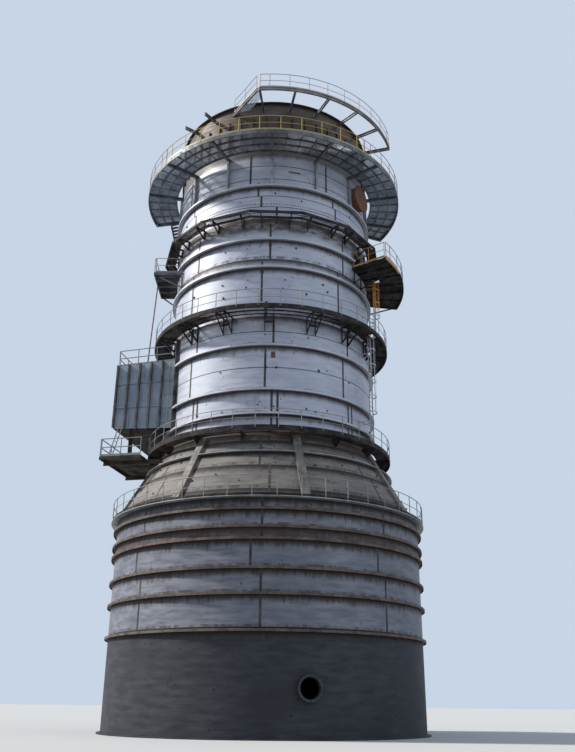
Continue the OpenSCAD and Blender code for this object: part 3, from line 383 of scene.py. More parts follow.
def plate_finish(name, light, dark, stain, levels, metallic, rough, stain_share=0.55, depth=0.8,
                 rust_zone=None, gloss=0.5):
    """Bare shell plate with faint streaks, run-off, rust, a painted shadow under its rings, and marks."""
    f = Finish(name, metallic, rough, gloss)
    streaks = f.noise(1.3, 5, (0.6, 0.6, 3.0))
    runs = f.noise(1.6, 6, (1.7, 1.7, 0.2), 0.65)
    body = f.mix(f.span(streaks, 0.28, 0.72), dark, light)
    body = f.mix(f.cloud(0.35, 5, 0.40, 0.72, 0.6), body, dark)
    under = f.maths("ADD", runs, f.times(f.below(levels, depth), 0.36))
    body = f.mix(f.span(under, 0.68, 0.92, 0.0, stain_share), body, stain)
    collar = f.below([z + COLLAR_UP for z in levels], COLLAR_DEPTH)
    collar = f.times(collar, f.cloud(2.6, 7, 0.42, 0.6, rough=0.7))
    body = f.mix(f.times(collar, 0.8), body, RUST)
    # Painted shadow: a dark band that fades down from each level, where the rings shade the plate, tinted
    # with the stain colour.
    body = f.mix(f.times(f.below(levels, RING_SHADOW_DEPTH), 0.95), body, darker(stain, 0.35))
    if rust_zone:
        low, high = rust_zone
        above = f.span(f.height(), low - 0.2, low + 0.3)
        inside = f.times(above, f.span(f.height(), high + LEVEL_BLUR, high - LEVEL_BLUR))
        patchy = f.span(f.noise(1.5, 7, (1, 1, 2.2), 0.65), 0.36, 0.6, 0.3, 0.9)
        body = f.mix(f.times(inside, patchy), body, RUST)
    body = f.mix(f.cloud(0.9, 8, 0.60, 0.72, 0.5, (1, 1, 0.6), 0.7), body, stain)
    marks = f.span(f.spots(1.5, (1, 1, 0.8)), 0.10, 0.05, 0.0, 0.8)
    body = f.mix(marks, body, darker(dark, 0.35))
    relief = f.maths("ADD", streaks, f.noise(9.0, 3))
    return f.finished(body, streaks, rough - 0.06, rough + 0.12, relief, 0.004, 0.2)


def duct_finish():
    """Pale blue duct plate, streaked down its sides, with rust and painted shade on the faces that look down.
    """
    f = Finish("duct_plate", 0.0, 0.5, 0.05)
    body = f.mix(f.cloud(0.8, 5, 0.35, 0.7), (0.42, 0.50, 0.60), (0.58, 0.67, 0.78))
    body = f.mix(f.cloud(2.0, 5, 0.54, 0.72, 0.5, (3, 3, 0.3)), body, (0.18, 0.20, 0.25))
    # Faces that look down go near black: painted shade under the duct, mixed with rust.
    normal = f.node("ShaderNodeNewGeometry").outputs["True Normal"]
    down = f.node("ShaderNodeSeparateXYZ", [("Vector", normal)]).outputs["Z"]
    rust_and_shade = f.mix(f.cloud(1.2, 6, 0.4, 0.65), (0.022, 0.018, 0.018), (0.06, 0.04, 0.03))
    body = f.mix(f.span(down, -0.4, -0.8), body, rust_and_shade)
    return f.finished(body, f.noise(3.0, 4), 0.45, 0.7, f.noise(6.0, 4), 0.004, 0.2)


def structure_finish(name, light, dark, rust, metallic=0.35, rough=0.6, rust_share=0.45, gloss=0.5):
    """Rolled section: cloudy grey with rust that gathers in patches."""
    f = Finish(name, metallic, rough, gloss)
    body = f.mix(f.cloud(1.3, 6, 0.35, 0.65), dark, light)
    body = f.mix(f.cloud(3.1, 7, 0.52, 0.68, rust_share, (1, 1, 0.5), 0.65), body, rust)
    body = f.mix(f.cloud(22.0, 3, 0.55, 0.8, 0.35), body, darker(dark, 0.5))
    return f.finished(body, f.noise(5.0, 4), rough - 0.12, rough + 0.15, f.noise(30.0, 4), 0.002, 0.4)


def paint_finish(name, paint, worn, rough=0.45):
    """Paint that has chipped and faded along its length."""
    f = Finish(name, 0.0, rough)
    faded = tuple(0.75 * c + 0.1 for c in paint)
    body = f.mix(f.cloud(1.1, 5, 0.35, 0.7, 0.5), paint, faded)
    body = f.mix(f.cloud(11.0, 6, 0.60, 0.66, 0.9, rough=0.7), body, worn)
    return f.finished(body, f.noise(7.0, 3), rough - 0.1, rough + 0.2, f.noise(40.0, 3), 0.001, 0.3)


def ladder_finish():
    """Galvanised ladder whose upper stretch is painted orange."""
    f = Finish("ladder_steel", 0.3, 0.5)
    zinc = f.mix(f.cloud(6.0, 4, 0.35, 0.65), (0.42, 0.43, 0.45), (0.66, 0.66, 0.67))
    paint = f.mix(f.cloud(8.0, 6, 0.58, 0.66), (0.80, 0.38, 0.07), (0.30, 0.16, 0.08))
    body = f.mix(f.span(f.height(), PAINTED_FROM, PAINTED_FROM + 0.1), zinc, paint)
    return f.finished(body, f.noise(9.0, 3), 0.4, 0.65, f.noise(40.0, 3), 0.001, 0.3)


PAINTED_FROM = Z_2 + 3.6
UPPER_LEVELS = [Z_1 + 0.84, Z_1 + 2.3, Z_1 + 5.08, Z_2 + 1.0, Z_2 + 4.3, Z_3, Z_3 + 1.36, Z_3 + 2.9, RING_6_Z,
                Z_CROWN]
LOWER_LEVELS = [Z_LOWER + z for z in (-0.1, 1.56, 2.81, 4.26, 4.86, 5.78, 6.36)]
CONE_LEVELS = CONE_ROUNDS + [Z_CONE + 2.9, Z_CONE + 4.2]

BROWN = (0.13, 0.07, 0.04)
RUST = (0.085, 0.058, 0.046)
NARROW_ZONE = (NARROW_DECK_Z - 1.1, NARROW_DECK_Z)
GIRDER_ZONE = (Z_LOWER + 4.2, Z_LOWER + 4.9)
CONE_TOP_ZONE = (CONE_ROUNDS[-1], Z_1)
CROWN_ZONE = (Z_CROWN + 1.6, Z_CROWN + 3.0)

bright = plate_finish(
    "bright_plate", (0.64, 0.66, 0.74), (0.44, 0.47, 0.57), (0.15, 0.12, 0.12), UPPER_LEVELS, 0.22, 0.5,
    rust_zone=NARROW_ZONE)
ring_steel = plate_finish(
    "ring_plate", (0.66, 0.68, 0.73), (0.47, 0.49, 0.54), (0.20, 0.14, 0.11), [Z_3], 0.25, 0.48)
weathered = plate_finish(
    "weathered_plate", (0.33, 0.345, 0.395), (0.165, 0.175, 0.215), (0.07, 0.05, 0.04), LOWER_LEVELS,
    0.15, 0.55, 0.8, 0.9, GIRDER_ZONE, 0.3)
rusty = structure_finish(
    "rusty_ring", (0.20, 0.15, 0.12), (0.085, 0.065, 0.055), (0.15, 0.07, 0.04), 0.2, 0.7, 0.6)
dusty = plate_finish(
    "dusty_plate", (0.33, 0.305, 0.285), (0.17, 0.157, 0.147), (0.08, 0.058, 0.045), CONE_LEVELS, 0.1, 0.65,
    0.65, 0.7, CONE_TOP_ZONE, 0.3)
cone_rib_steel = structure_finish(
    "cone_rib_plate", (0.30, 0.28, 0.26), (0.15, 0.14, 0.13), (0.14, 0.085, 0.06), 0.15, 0.65, gloss=0.3)
skirt_steel = plate_finish(
    "skirt_plate", (0.085, 0.09, 0.103), (0.036, 0.039, 0.047), (0.05, 0.032, 0.022), [Z_FLOOR], 0.1, 0.65,
    0.6, 1.2, gloss=0.25)
crown_steel = plate_finish(
    "crown_plate", (0.17, 0.145, 0.125), (0.06, 0.052, 0.048), (0.11, 0.065, 0.04), [Z_RIM], 0.2, 0.6,
    0.7, 1.5, CROWN_ZONE)
duct_panel = duct_finish()
section_steel = structure_finish("section_steel", (0.22, 0.235, 0.255), (0.10, 0.11, 0.125), BROWN)
dark_section = structure_finish(
    "dark_section", (0.085, 0.075, 0.07), (0.03, 0.028, 0.029), (0.11, 0.055, 0.032), 0.0, 0.7, 0.6, 0.08)
rib_steel = structure_finish(
    "rib_plate", (0.17, 0.16, 0.17), (0.045, 0.04, 0.042), (0.09, 0.05, 0.035), 0.1, 0.65, 0.6, 0.25)
post_steel = structure_finish("post_steel", (0.50, 0.52, 0.55), (0.31, 0.33, 0.36), BROWN, 0.3, 0.5, 0.3)
grating_steel = structure_finish(
    "grating_steel", (0.38, 0.42, 0.48), (0.22, 0.25, 0.30), BROWN, 0.3, 0.55, 0.25)
dark_grating = structure_finish(
    "dark_grating", (0.14, 0.13, 0.125), (0.05, 0.046, 0.046), BROWN, 0.0, 0.7, 0.5, 0.08)
brown_frame = structure_finish(
    "brown_frame", (0.12, 0.095, 0.08), (0.045, 0.04, 0.037), (0.12, 0.06, 0.037), 0.0, 0.7, 0.6, 0.08)
ring_beam_steel = structure_finish(
    "ring_beam_steel", (0.46, 0.43, 0.42), (0.24, 0.22, 0.215), (0.27, 0.16, 0.10), 0.2, 0.6, 0.6)
rail_grey = paint_finish("rail_grey", (0.34, 0.33, 0.33), (0.18, 0.14, 0.12))
rail_pink = paint_finish("rail_pink", (0.58, 0.46, 0.43), (0.32, 0.21, 0.17))
rail_yellow = paint_finish("rail_yellow", (0.74, 0.50, 0.07), (0.34, 0.20, 0.07))
rail_orange = paint_finish("rail_orange", (0.72, 0.35, 0.06), (0.30, 0.15, 0.07))
edge_cream = paint_finish("edge_cream", (0.52, 0.42, 0.20), (0.26, 0.18, 0.11))
primer = paint_finish("red_primer", (0.21, 0.085, 0.05), (0.085, 0.05, 0.04), 0.7)
bead_dark = structure_finish(
    "weld_dark", (0.09, 0.08, 0.08), (0.035, 0.033, 0.036), (0.12, 0.055, 0.03), 0.2, 0.7)
pale_sheet = structure_finish(
    "pale_sheet", (0.66, 0.64, 0.60), (0.46, 0.45, 0.42), (0.30, 0.25, 0.20), 0.0, 0.7, 0.3)
ladder_steel = ladder_finish()

CAD_FINISHES = (
    (skirt_steel, "base_ring skirt skirt_manway floor_plate"),
    (weathered, "lower_shell"),
    (rusty, "lower_rings"),
    (dusty, "cone_shell"),
    (cone_rib_steel, "cone_ribs"),
    (bright, "inlet_course second_course third_course"),
    (ring_steel, "cone_ring upper_rings"),
    (crown_steel, "crown_shell crown_rim roof"),
    (primer, "side_nozzle balcony_strut"),
    (ladder_steel, "ladders"),
    (duct_panel, "inlet_duct"),
    (rib_steel, "duct_ribs"),
    (brown_frame, "duct_balcony"),
    (post_steel, "shoulder_walkway"),
    (dark_section, "doorway_frame crown_stiffeners cone_walkway mid_walkway narrow_walkway right_balcony"),
    (section_steel, "left_stair left_balcony top_deck top_frame crown_beams crown_ring"),
    (rail_grey, "shoulder_rail cone_walkway_rail mid_walkway_rail left_balcony_rail duct_rails duct_ladder"),
    (rail_orange, "right_balcony_rail"),
    (rail_yellow, "top_front_rail"),
    (rail_pink, "top_side_rails crown_rail"),
)
for finish, nodes in CAD_FINISHES:
    for node in nodes.split():
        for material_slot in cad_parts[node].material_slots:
            material_slot.material = finish

# Handrails of round tube

TUBE_R, MID_TUBE_R, POST_R = 0.0215, 0.017, 0.0215
TOE_H, TOE_T = 0.14, 0.008
FOOT_W, POST_PITCH, ARC_STEP = 0.08, 1.3, 2.5
RAIL_INSET, BALCONY_INSET, SIDE_INSET = 0.03, 0.045, 0.0225
END_TURN, POST_TURN = 0.3, 0.2


def rail_along(shape, path, posts, closed=False):
    """Top rail and knee rail along a path on the deck, with posts and their feet at given points."""
    up = Vector((0, 0, 1))
    shape.tube([p + up * (RAIL_H - TUBE_R) for p in path], TUBE_R, 8, closed)
    shape.tube([p + up * RAIL_H / 2 for p in path], MID_TUBE_R, 6, closed)
    for p in posts:
        shape.tube([p + up * SEAT, p + up * (RAIL_H - TUBE_R)], POST_R)
        shape.box(Matrix.Translation(p), (FOOT_W, FOOT_W, FLAT_T), (0, 0, FLAT_T / 2 + SEAT))


def arc_rail(shape, a0, a1, radius, z, toe=None):
    """Rail along an arc, closed when it is a full circle. The toe plate may go to a shape of its own."""
    full = a1 - a0 >= 360
    count = max(1, ceil((a1 - a0) / ARC_STEP))
    path = [polar(a0 + i * (a1 - a0) / count, radius, z) for i in range(count if full else count + 1)]
    bays = max(1, round((a1 - a0) / degrees(POST_PITCH / radius)))
    posts = middles(a0, a1, bays)
    ends = [] if full else [a0 + POST_TURN, a1 - POST_TURN]
    rail_along(shape, path, [polar(a, radius, z) for a in posts + ends], full)
    (toe or shape).band(radius - TOE_T / 2, radius + TOE_T / 2, z + SEAT, z + TOE_H, a0, a1, ARC_STEP)


def straight_rail(shape, start, end):
    """Rail between two points of a deck."""
    along = end - start
    bays = max(1, round(along.length / POST_PITCH))
    first = along.normalized() * POST_R
    posts = [start + first + (along - 2 * first) * (i / bays) for i in range(bays + 1)]
    rail_along(shape, [start, end], posts)
    turn = Matrix.Rotation(atan2(along.y, along.x), 4, "Z")
    place = Matrix.Translation((start + end) / 2) @ turn
    shape.box(place, (along.length, TOE_T, TOE_H), (0, 0, TOE_H / 2 + SEAT))


def make_ring_rails():
    for name, node, radius, z in (
        ("shoulder_tube_rail", "shoulder_rail", SHOULDER_R - BALCONY_INSET, Z_CONE),
        ("cone_deck_tube_rail", "cone_walkway_rail", CONE_DECK_R - RAIL_INSET, CONE_DECK_Z),
        ("mid_deck_tube_rail", "mid_walkway_rail", MID_DECK_R - RAIL_INSET, MID_DECK_Z),
    ):
        rail, toe = Shape(), Shape()
        arc_rail(rail, 0, 360, radius, z, toe)
        rail.make(name, rail_grey, [node], "grey_rail")
        toe.make(name + "_toe", dark_section, [node], "grey_rail")


def make_top_rails():
    front, sides, toes = Shape(), Shape(), Shape()
    radius, z, end = TOP_R - RAIL_INSET, TOP_DECK_Z, TOP_A1 - POST_TURN
    arc_rail(front, FRONT_A0, FRONT_A1, radius, z, toes)
    arc_rail(sides, TOP_A0, FRONT_A0, radius, z, toes)
    arc_rail(sides, FRONT_A1, TOP_A1 - END_TURN, radius, z, toes)
    straight_rail(sides, polar(end, TOP_IN_R + 0.05, z), polar(end, TOP_R - 0.1, z))
    front.make("front_tube_rail", rail_yellow, ["top_front_rail"], "yellow_rail")
    sides.make("side_tube_rails", rail_pink, ["top_side_rails"], "grey_rail")
    toes.make("top_toe_plates", edge_cream, ["top_front_rail", "top_side_rails"], "yellow_rail")


def make_right_rails():
    outer, ends = Shape(), Shape()
    edge, z = RIGHT_R - BALCONY_INSET, RIGHT_DECK_Z
    arc_rail(outer, RIGHT_A0 + END_TURN, RIGHT_A1 - END_TURN, edge, z)
    for a in (RIGHT_A0 + POST_TURN, RIGHT_A1 - POST_TURN):
        straight_rail(ends, polar(a, SHELL_R + 0.08, z), polar(a, edge - 0.06, z))
    outer.make("right_outer_tube_rail", rail_grey, ["right_balcony_rail"], "grey_rail")
    ends.make("right_end_tube_rails", rail_orange, ["right_balcony_rail"], "orange_rail")


def crown_chord():
    """Ends of the straight beam between the crown's ring and the shell, on the beam's top."""
    p = polar(CROWN_AZ - 0.8, CROWN_R - CROWN_BEAM_W / 2, CROWN_BEAM_TOP)
    q = polar(CROWN_AZ - CROWN_END_TURN, SHELL_R, CROWN_BEAM_TOP)
    return p, q


def make_crown_rail():
    rail = Shape()
    last = CROWN_AZ + (CROWN_COUNT - 1) * CROWN_STEP
    arc_rail(rail, CROWN_AZ, last, CROWN_R - CROWN_BEAM_W / 2, CROWN_BEAM_TOP)
    p, q = crown_chord()
    straight_rail(rail, p.lerp(q, 0.04), p.lerp(q, 0.95))
    rail.make("crown_tube_rail", rail_pink, ["crown_rail"], "grey_rail")


# Gratings and their frames

BAR_T, BAR_H, BAR_PITCH, ROD_PITCH = 0.006, 0.036, 0.06, 0.2
EDGE_H, EDGE_T, CHANNEL_END = 0.18, 0.06, 0.013
HATCH_HALF, HATCH_IN, HATCH_OUT = 0.38, 0.5875, 1.02
LOWER_LADDER_AZ, MIDDLE_LADDER_AZ = 61.0, 72.0


def edge_channel(inner, outer, top):
    """Outline of the channel round a deck, whose web is at outer."""
    return c_outline(inner, outer, top - EDGE_H, top, FLAT_T)


def bearing_bar(shape, place, x, near, far, top):
    """Bar of a grating that runs outwards from near to far."""
    shape.box(place, (BAR_T, far - near, BAR_H), (x, -(near + far) / 2, top - BAR_H / 2))


def straight_bars(shape, place, x0, x1, near, far, top):
    """Bearing bars side by side, each from where near says at its x."""
    count = round((x1 - x0) / BAR_PITCH)
    for x in middles(x0, x1, count):
        bearing_bar(shape, place, x, near(x), far, top)


def straight_frame(shape, place, x0, x1, near, far, top):
    """Channels along the outer edge and both sides of a straight deck."""
    shape.prism(place, edge_channel(EDGE_T - far, -far, top), x0, x1, 0)
    for x, flange in ((x0, EDGE_T), (x1, -EDGE_T)):
        inner = near(min(abs(x), abs(x + flange)))
        shape.prism(place, edge_channel(x + flange, x, top), CHANNEL_END - far, -inner)


def grating(shape, a0, a1, r0, r1, top, hatch=None):
    """Bearing bars that run outwards and rods across them, open at a ladder's hatch."""
    count = max(1, round(radians(a1 - a0) * r1 / BAR_PITCH))
    hatch_in, hatch_out = SHELL_R + HATCH_IN, SHELL_R + HATCH_OUT
    for a in middles(a0, a1, count):
        hatched = hatch is not None and abs(radians(a - hatch)) * hatch_in < HATCH_HALF
        for low, high in ([(r0, hatch_in), (hatch_out, r1)] if hatched else [(r0, r1)]):
            bearing_bar(shape, facing(a), 0, low, high, top)
    rods = max(1, round((r1 - r0) / ROD_PITCH))
    for i in range(rods + 1):
        r = r0 + i * (r1 - r0) / rods
        spans = [(a0, a1)]
        if hatch is not None and hatch_in < r < hatch_out:
            half = degrees(HATCH_HALF / hatch_in)
            spans = [(a0, hatch - half), (hatch + half, a1)]
        for b0, b1 in spans:
            shape.band(r - BAR_T, r + BAR_T, top - 2 * BAR_T, top - 0.001, b0, b1, 3.0)


def hatch_frame(shape, a, top):
    """Flat bars round a ladder's hatch."""
    place, z = facing(a), top - EDGE_H / 4
    for x in (-HATCH_HALF, HATCH_HALF):
        middle = SHELL_R + (HATCH_IN + HATCH_OUT) / 2
        shape.box(place, (FLAT_T, HATCH_OUT - HATCH_IN, EDGE_H / 2), (x, -middle, z))
    for r in (HATCH_IN, HATCH_OUT):
        shape.box(place, (2 * HATCH_HALF, FLAT_T, EDGE_H / 2), (0, -SHELL_R - r, z))


def make_deck(name, node, deck, bars, finish, slot="galvanised_steel"):
    """The grating and the frame of one deck."""
    deck.make(name + "_grating", dark_grating, [node], slot)
    bars.make(name + "_frame", finish, [node], slot)


BRACKETS = 16
BRACKET_HALF, BRACKET_H, BRACKET_T, BRACKET_TOE, BRACKET_BAR = 0.28, 1.1, 0.024, 0.09, 0.13
INNER_FLAT_H, TIE_H = 0.08, 0.14
STRINGER_W, STRINGER_H = 0.06, 0.12


def strips(shape, place, sides):
    """Flat bars of bracket plate, each with a start, an end and its width as an offset."""
    for start, end, width in sides:
        shape.plate(place, [tuple(p) for p in (start, end, end + width, start + width)], BRACKET_T)


def upper_side(start, end, width):
    """Offset of that width at right angles to a line, on its upper side."""
    slope = (end - start).normalized()
    offset = Vector((slope.y, -slope.x)) * width
    return offset if offset.y > 0 else -offset


def open_gusset(shape, place, r0, r1, top, height):
    """Bracket between the wall and a deck's edge with a three-sided hole in it."""
    toe = Vector((-BRACKET_TOE, 0))
    wall, foot = Vector((-r0, top)), Vector((-r0, top - height))
    edge, tip = Vector((-r1, top)), Vector((-r1, top - EDGE_H))
    strips(shape, place, (
        (wall, edge, Vector((0, -BRACKET_BAR))), (tip, foot + toe, upper_side(foot + toe, tip, BRACKET_BAR)),
        (wall, foot, toe),
    ))


def make_mid_walkway():
    deck, bars = Shape(), Shape()
    z, r0, r1 = MID_DECK_Z, SHELL_R + DECK_GAP, MID_DECK_R
    grating(deck, 0, 360, r0 + 0.02, r1 - EDGE_T, z, LOWER_LADDER_AZ)
    bars.sweep(edge_channel(r1 - EDGE_T, r1, z))
    bars.band(r0, r0 + FLAT_T, z - INNER_FLAT_H, z)
    middle = (r0 + r1) / 2
    bars.band(middle - STRINGER_W / 2, middle + STRINGER_W / 2, z - STRINGER_H, z - BAR_H)
    hatch_frame(bars, LOWER_LADDER_AZ, z)
    edge = r1 - EDGE_T - SEAT
    wall = shell_y(BRACKET_HALF - BRACKET_T / 2)
    reach = sqrt(edge ** 2 - (BRACKET_HALF + BRACKET_T / 2) ** 2)
    top = z - DECK_T - SEAT
    for i in range(BRACKETS):
        place = facing(i * 360 / BRACKETS)
        for x in (-BRACKET_HALF, BRACKET_HALF):
            open_gusset(bars, shifted(place, x), wall, reach, top, BRACKET_H)
        for r, drop in ((reach, 0.09), (wall + 0.35, 0.62)):
            bars.box(place, (2 * BRACKET_HALF, BRACKET_T, TIE_H), (0, -r + BRACKET_T, top - drop))
    make_deck("mid_deck", "mid_walkway", deck, bars, dark_section)


TOP_PURLINS = 3
PURLIN_W, PURLIN_H, PURLIN_T = 0.08, 0.12, 0.01
TOP_POST_OUT, TOP_POST_DEEP = 0.1175, 0.18
SMALL_W, SMALL_H, SMALL_T, SMALL_PITCH = 0.04, 0.08, 0.008, 1.0
JOIST_W, JOIST_WEB = 0.08, 0.008


def joist(x, top, height, flange):
    """Outline of a light I-section under a deck."""
    return moved(i_outline(JOIST_W, height, JOIST_WEB, flange), x, top - height / 2)


def top_beams():
    """Azimuths of the beams under the top platform."""
    turn = degrees(TOP_BEAM_W / 2 / SHELL_R)
    inner = [i * 360 / TOP_DIVISIONS for i in range(-TOP_DIVISIONS, TOP_DIVISIONS + 1)]
    return [TOP_A0 + turn] + [a for a in inner if TOP_A0 + 6 < a < TOP_A1 - 6] + [TOP_A1 - turn]


def make_top_platform():
    deck, edge, beams, posts = Shape(), Shape(), Shape(), Shape()
    z, edge_in = TOP_DECK_Z, TOP_R - FASCIA_T
    top, low = z - DECK_T - SEAT, z - DECK_T - TOP_BEAM_H
    grating(deck, TOP_A0, TOP_A1, TOP_IN_R + 0.01, edge_in, z)
    deck.band(TOP_IN_R, TOP_IN_R + FLAT_T, z - DECK_T, z, TOP_A0, TOP_A1)
    edge.sweep(c_outline(edge_in, TOP_R, low, z, 0.014), TOP_A0, TOP_A1)
    azimuths = top_beams()
    section = moved(i_outline(TOP_BEAM_W, TOP_BEAM_H, FLAT_T, FLANGE_T), 0, top - TOP_BEAM_H / 2)
    post = i_outline(TOP_BEAM_W, TOP_POST_DEEP, FLAT_T, FLANGE_T)
    for a in azimuths:
        beams.prism(facing(a), section, SEAT - edge_in, -SHELL_R - SEAT)
        posts.prism(facing(a, SHELL_R + TOP_POST_OUT), post, RING_6_Z + RING_T + SEAT, low - SEAT, 2)
    pitch = (edge_in - TOP_IN_R - PURLIN_W) / TOP_PURLINS
    small = moved(c_outline(-SMALL_W / 2, SMALL_W / 2, 0, SMALL_H, SMALL_T), 0, top - SMALL_H)
    for a0, a1 in zip(azimuths, azimuths[1:]):
        for j in range(TOP_PURLINS):
            r = TOP_IN_R + j * pitch
            turn = degrees((TOP_BEAM_W / 2 + SEAT) / r)
            beams.sweep(c_outline(r + PURLIN_W, r, top - PURLIN_H, top, PURLIN_T), a0 + turn, a1 - turn)
        count = max(1, round(radians(a1 - a0) * TOP_R / SMALL_PITCH))
        for k in range(1, count):
            beams.prism(facing(a0 + k * (a1 - a0) / count), small, 0.01 - edge_in, -TOP_IN_R - 0.01)
    deck.make("top_deck_grating", grating_steel, ["top_deck"])
    edge.make("top_deck_edge", section_steel, ["top_deck"])
    beams.make("top_deck_beams", section_steel, ["top_frame"])
    posts.make("top_deck_posts", post_steel, ["top_frame"])


CROWN_STUBS, STUB_REACH = (-3, -2), 1.15
END_PLATE_W, END_PLATE_T, END_PLATE_MORE = 0.26, 0.02, 0.16


def make_crown():
    beams, ring = Shape(), Shape()
    section = i_outline(CROWN_BEAM_W, CROWN_BEAM_H, FLAT_T, FLANGE_T)
    middle = CROWN_BEAM_TOP - CROWN_BEAM_H / 2
    for i in (*CROWN_STUBS, *range(CROWN_COUNT)):
        reach = STUB_REACH if i in CROWN_STUBS else CROWN_R - SHELL_R - CROWN_BEAM_W - SEAT
        place = facing(CROWN_AZ + i * CROWN_STEP)
        beams.prism(place, moved(section, 0, middle), -SHELL_R - reach, -SHELL_R - SEAT)
        size = (END_PLATE_W, END_PLATE_T, CROWN_BEAM_H + END_PLATE_MORE)
        beams.box(place, size, (0, -SHELL_R - 0.6 * END_PLATE_T, middle))
    turn = degrees(CROWN_BEAM_W / 2 / CROWN_R)
    last = CROWN_AZ + (CROWN_COUNT - 1) * CROWN_STEP
    ring.sweep(moved(section, CROWN_R - CROWN_BEAM_W / 2, middle), CROWN_AZ - turn, last + turn)
    p, q = (Vector((v.x, v.y, middle)) for v in crown_chord())
    along = q - p
    angle = atan2(along.y, along.x) - pi / 2
    ring.prism(Matrix.Translation(p) @ Matrix.Rotation(angle, 4, "Z"), section, 0.02, along.length - 0.02)
    beams.make("crown_radial_beams", section_steel, ["crown_beams"])
    ring.make("crown_ring_beam", ring_beam_steel, ["crown_ring"])


CHORD_W, CHORD_PITCH, CHORD_STEPS = 0.62, 0.09, 50
CHORD_RODS = (0.14, 0.3, 0.46, 0.6)


def off_crown(point):
    """True between the shell and the crown's first radial beam."""
    azimuth = degrees(atan2(point.x, -point.y))
    return hypot(point.x, point.y) > SHELL_R + 0.05 and azimuth < CROWN_AZ - 0.6


def make_chord_grating():
    """Light grating along the inner side of the crown's straight beam."""
    slats = Shape()
    p, q = crown_chord()
    along = (q - p).normalized()
    inward = Vector((along.y, -along.x, 0))
    if inward.dot(p) > 0:
        inward = -inward
    turn = Matrix.Rotation(atan2(inward.y, inward.x), 4, "Z")
    widths = [w / CHORD_STEPS for w in range(2, 1 + round(CHORD_W * CHORD_STEPS))]
    count = round((q - p).length / CHORD_PITCH)
    for i in range(1, count):
        start = p.lerp(q, i / count) + inward * CROWN_BEAM_W / 2
        free = [w for w in widths if off_crown(start + inward * w)]
        if free:
            place, reach = Matrix.Translation(start) @ turn, max(free)
            slats.box(place, (reach, FLAT_T, BAR_H), (reach / 2, 0, -0.02))
            for w in CHORD_RODS:
                if w <= reach:
                    slats.box(place, (0.02, 1.01 * CHORD_PITCH, 0.014), (w, 0, -0.009))
    slats.make("crown_chord_grating", post_steel)


SHEET_AZ, SHEET_HALF, SHEET_DEEP = 9.5, 0.48, 0.42


def make_sheet():
    """Pale plate under the front of the top platform's edge."""
    sheet = Shape()
    top = TOP_DECK_Z - DECK_T - TOP_BEAM_H - SEAT
    turns = [radians(t) for t in range(0, 181, 12)]
    rim = [(SHEET_HALF * cos(t), SHEET_DEEP * sin(t)) for t in turns]
    sheet.prism(facing(SHEET_AZ, TOP_R - FASCIA_T / 2), rim, top - FLAT_T, top, 2)
    sheet.make("edge_plate", pale_sheet)


CONE_BRACKET_H = 0.59


def make_cone_walkway():
    deck, bars = Shape(), Shape()
    z, r0, r1 = CONE_DECK_Z, cone_r(CONE_DECK_Z - DECK_T) + DECK_GAP, CONE_DECK_R
    grating(deck, 0, 360, r0, r1 - EDGE_T, z)
    bars.sweep(edge_channel(r1 - EDGE_T, r1, z))
    bars.band(r0, r0 + FLAT_T, z - INNER_FLAT_H, z)
    top, edge = z - DECK_T - SEAT, r1 - EDGE_T - SEAT
    low = top - CONE_BRACKET_H
    outline = [(-cone_r(top) - SEAT, top), (-edge, top), (-edge, top - EDGE_H), (-cone_r(low) - SEAT, low)]
    for i in range(BRACKETS):
        bars.plate(facing((i + 0.5) * 360 / BRACKETS), outline, BRACKET_T)
    make_deck("cone_deck", "cone_walkway", deck, bars, dark_section)


NARROW_AZ, NARROW_SIDES, NARROW_REACH = -10.3, 14, 1.0
NARROW_BRACKET_H, NARROW_BRACKET_TURN = 0.7, 0.3
PIPE_R, PIPES = 0.045, ((0.12, 0.17), (0.34, 0.24))


def make_narrow_walkway():
    """Straight-sided deck on brackets, with two pipes under it."""
    deck, bars, pipes = Shape(), Shape(), Shape()
    step = 360 / NARROW_SIDES
    spread = tan(radians(step / 2))
    z, inner = NARROW_DECK_Z, SHELL_R + DECK_GAP
    outer = (SHELL_R + NARROW_REACH) * cos(radians(step / 2))
    edge_in = outer - EDGE_T
    turn = NARROW_BRACKET_TURN * step
    reach = edge_in / cos(radians(turn)) - 0.02
    count = round(2 * edge_in * spread / BAR_PITCH)
    for i in range(NARROW_SIDES):
        middle = NARROW_AZ + (i + 0.5) * step
        place = facing(middle)
        for x in middles(-edge_in * spread, edge_in * spread, count):
            bearing_bar(deck, place, x, max(inner, abs(x) / spread), edge_in, z)
        for d in (inner + 0.01, inner + ROD_PITCH, inner + 2 * ROD_PITCH, edge_in - 0.01):
            deck.box(place, (2 * d * spread, 2 * BAR_T, BAR_T), (0, -d, z - BAR_T))
        bars.plate(place, edge_channel(-edge_in, -outer, z), 2 * outer * spread)
        for a in (middle - turn, middle + turn):
            open_gusset(bars, facing(a), SHELL_R + SEAT, reach, z - DECK_T - SEAT, NARROW_BRACKET_H)
        for out, drop in PIPES:
            d = inner + out
            pipes.tube([place @ Vector((x, -d, z - drop)) for x in (-d * spread, d * spread)], PIPE_R, 10)
    make_deck("narrow_deck", "narrow_walkway", deck, bars, dark_section)
    pipes.make("narrow_deck_pipes", brown_frame)


LEFT_AZ, LEFT_BACK, LEFT_FRONT, LEFT_D = -90.0, 0.4, 3.0, 7.75
LEFT_RODS, LEFT_JOISTS = (0.3, 0.6, 0.9, 1.2, 1.6), (0.45, 1.3, 2.15)
KNEE_H, KNEE_INSET, KNEE_BAR = 0.9, 0.15, 0.09
JOIST_END = 0.015


def knee(shape, place, wall, outer, top):
    """Open triangular knee under a balcony."""
    a, b, c = Vector((-wall, top)), Vector((-outer, top)), Vector((-wall, top - KNEE_H))
    strips(shape, place, (
        (a, b, Vector((0, -KNEE_BAR))), (b, c, upper_side(c, b, KNEE_BAR)), (a, c, Vector((-KNEE_BAR, 0))),
    ))


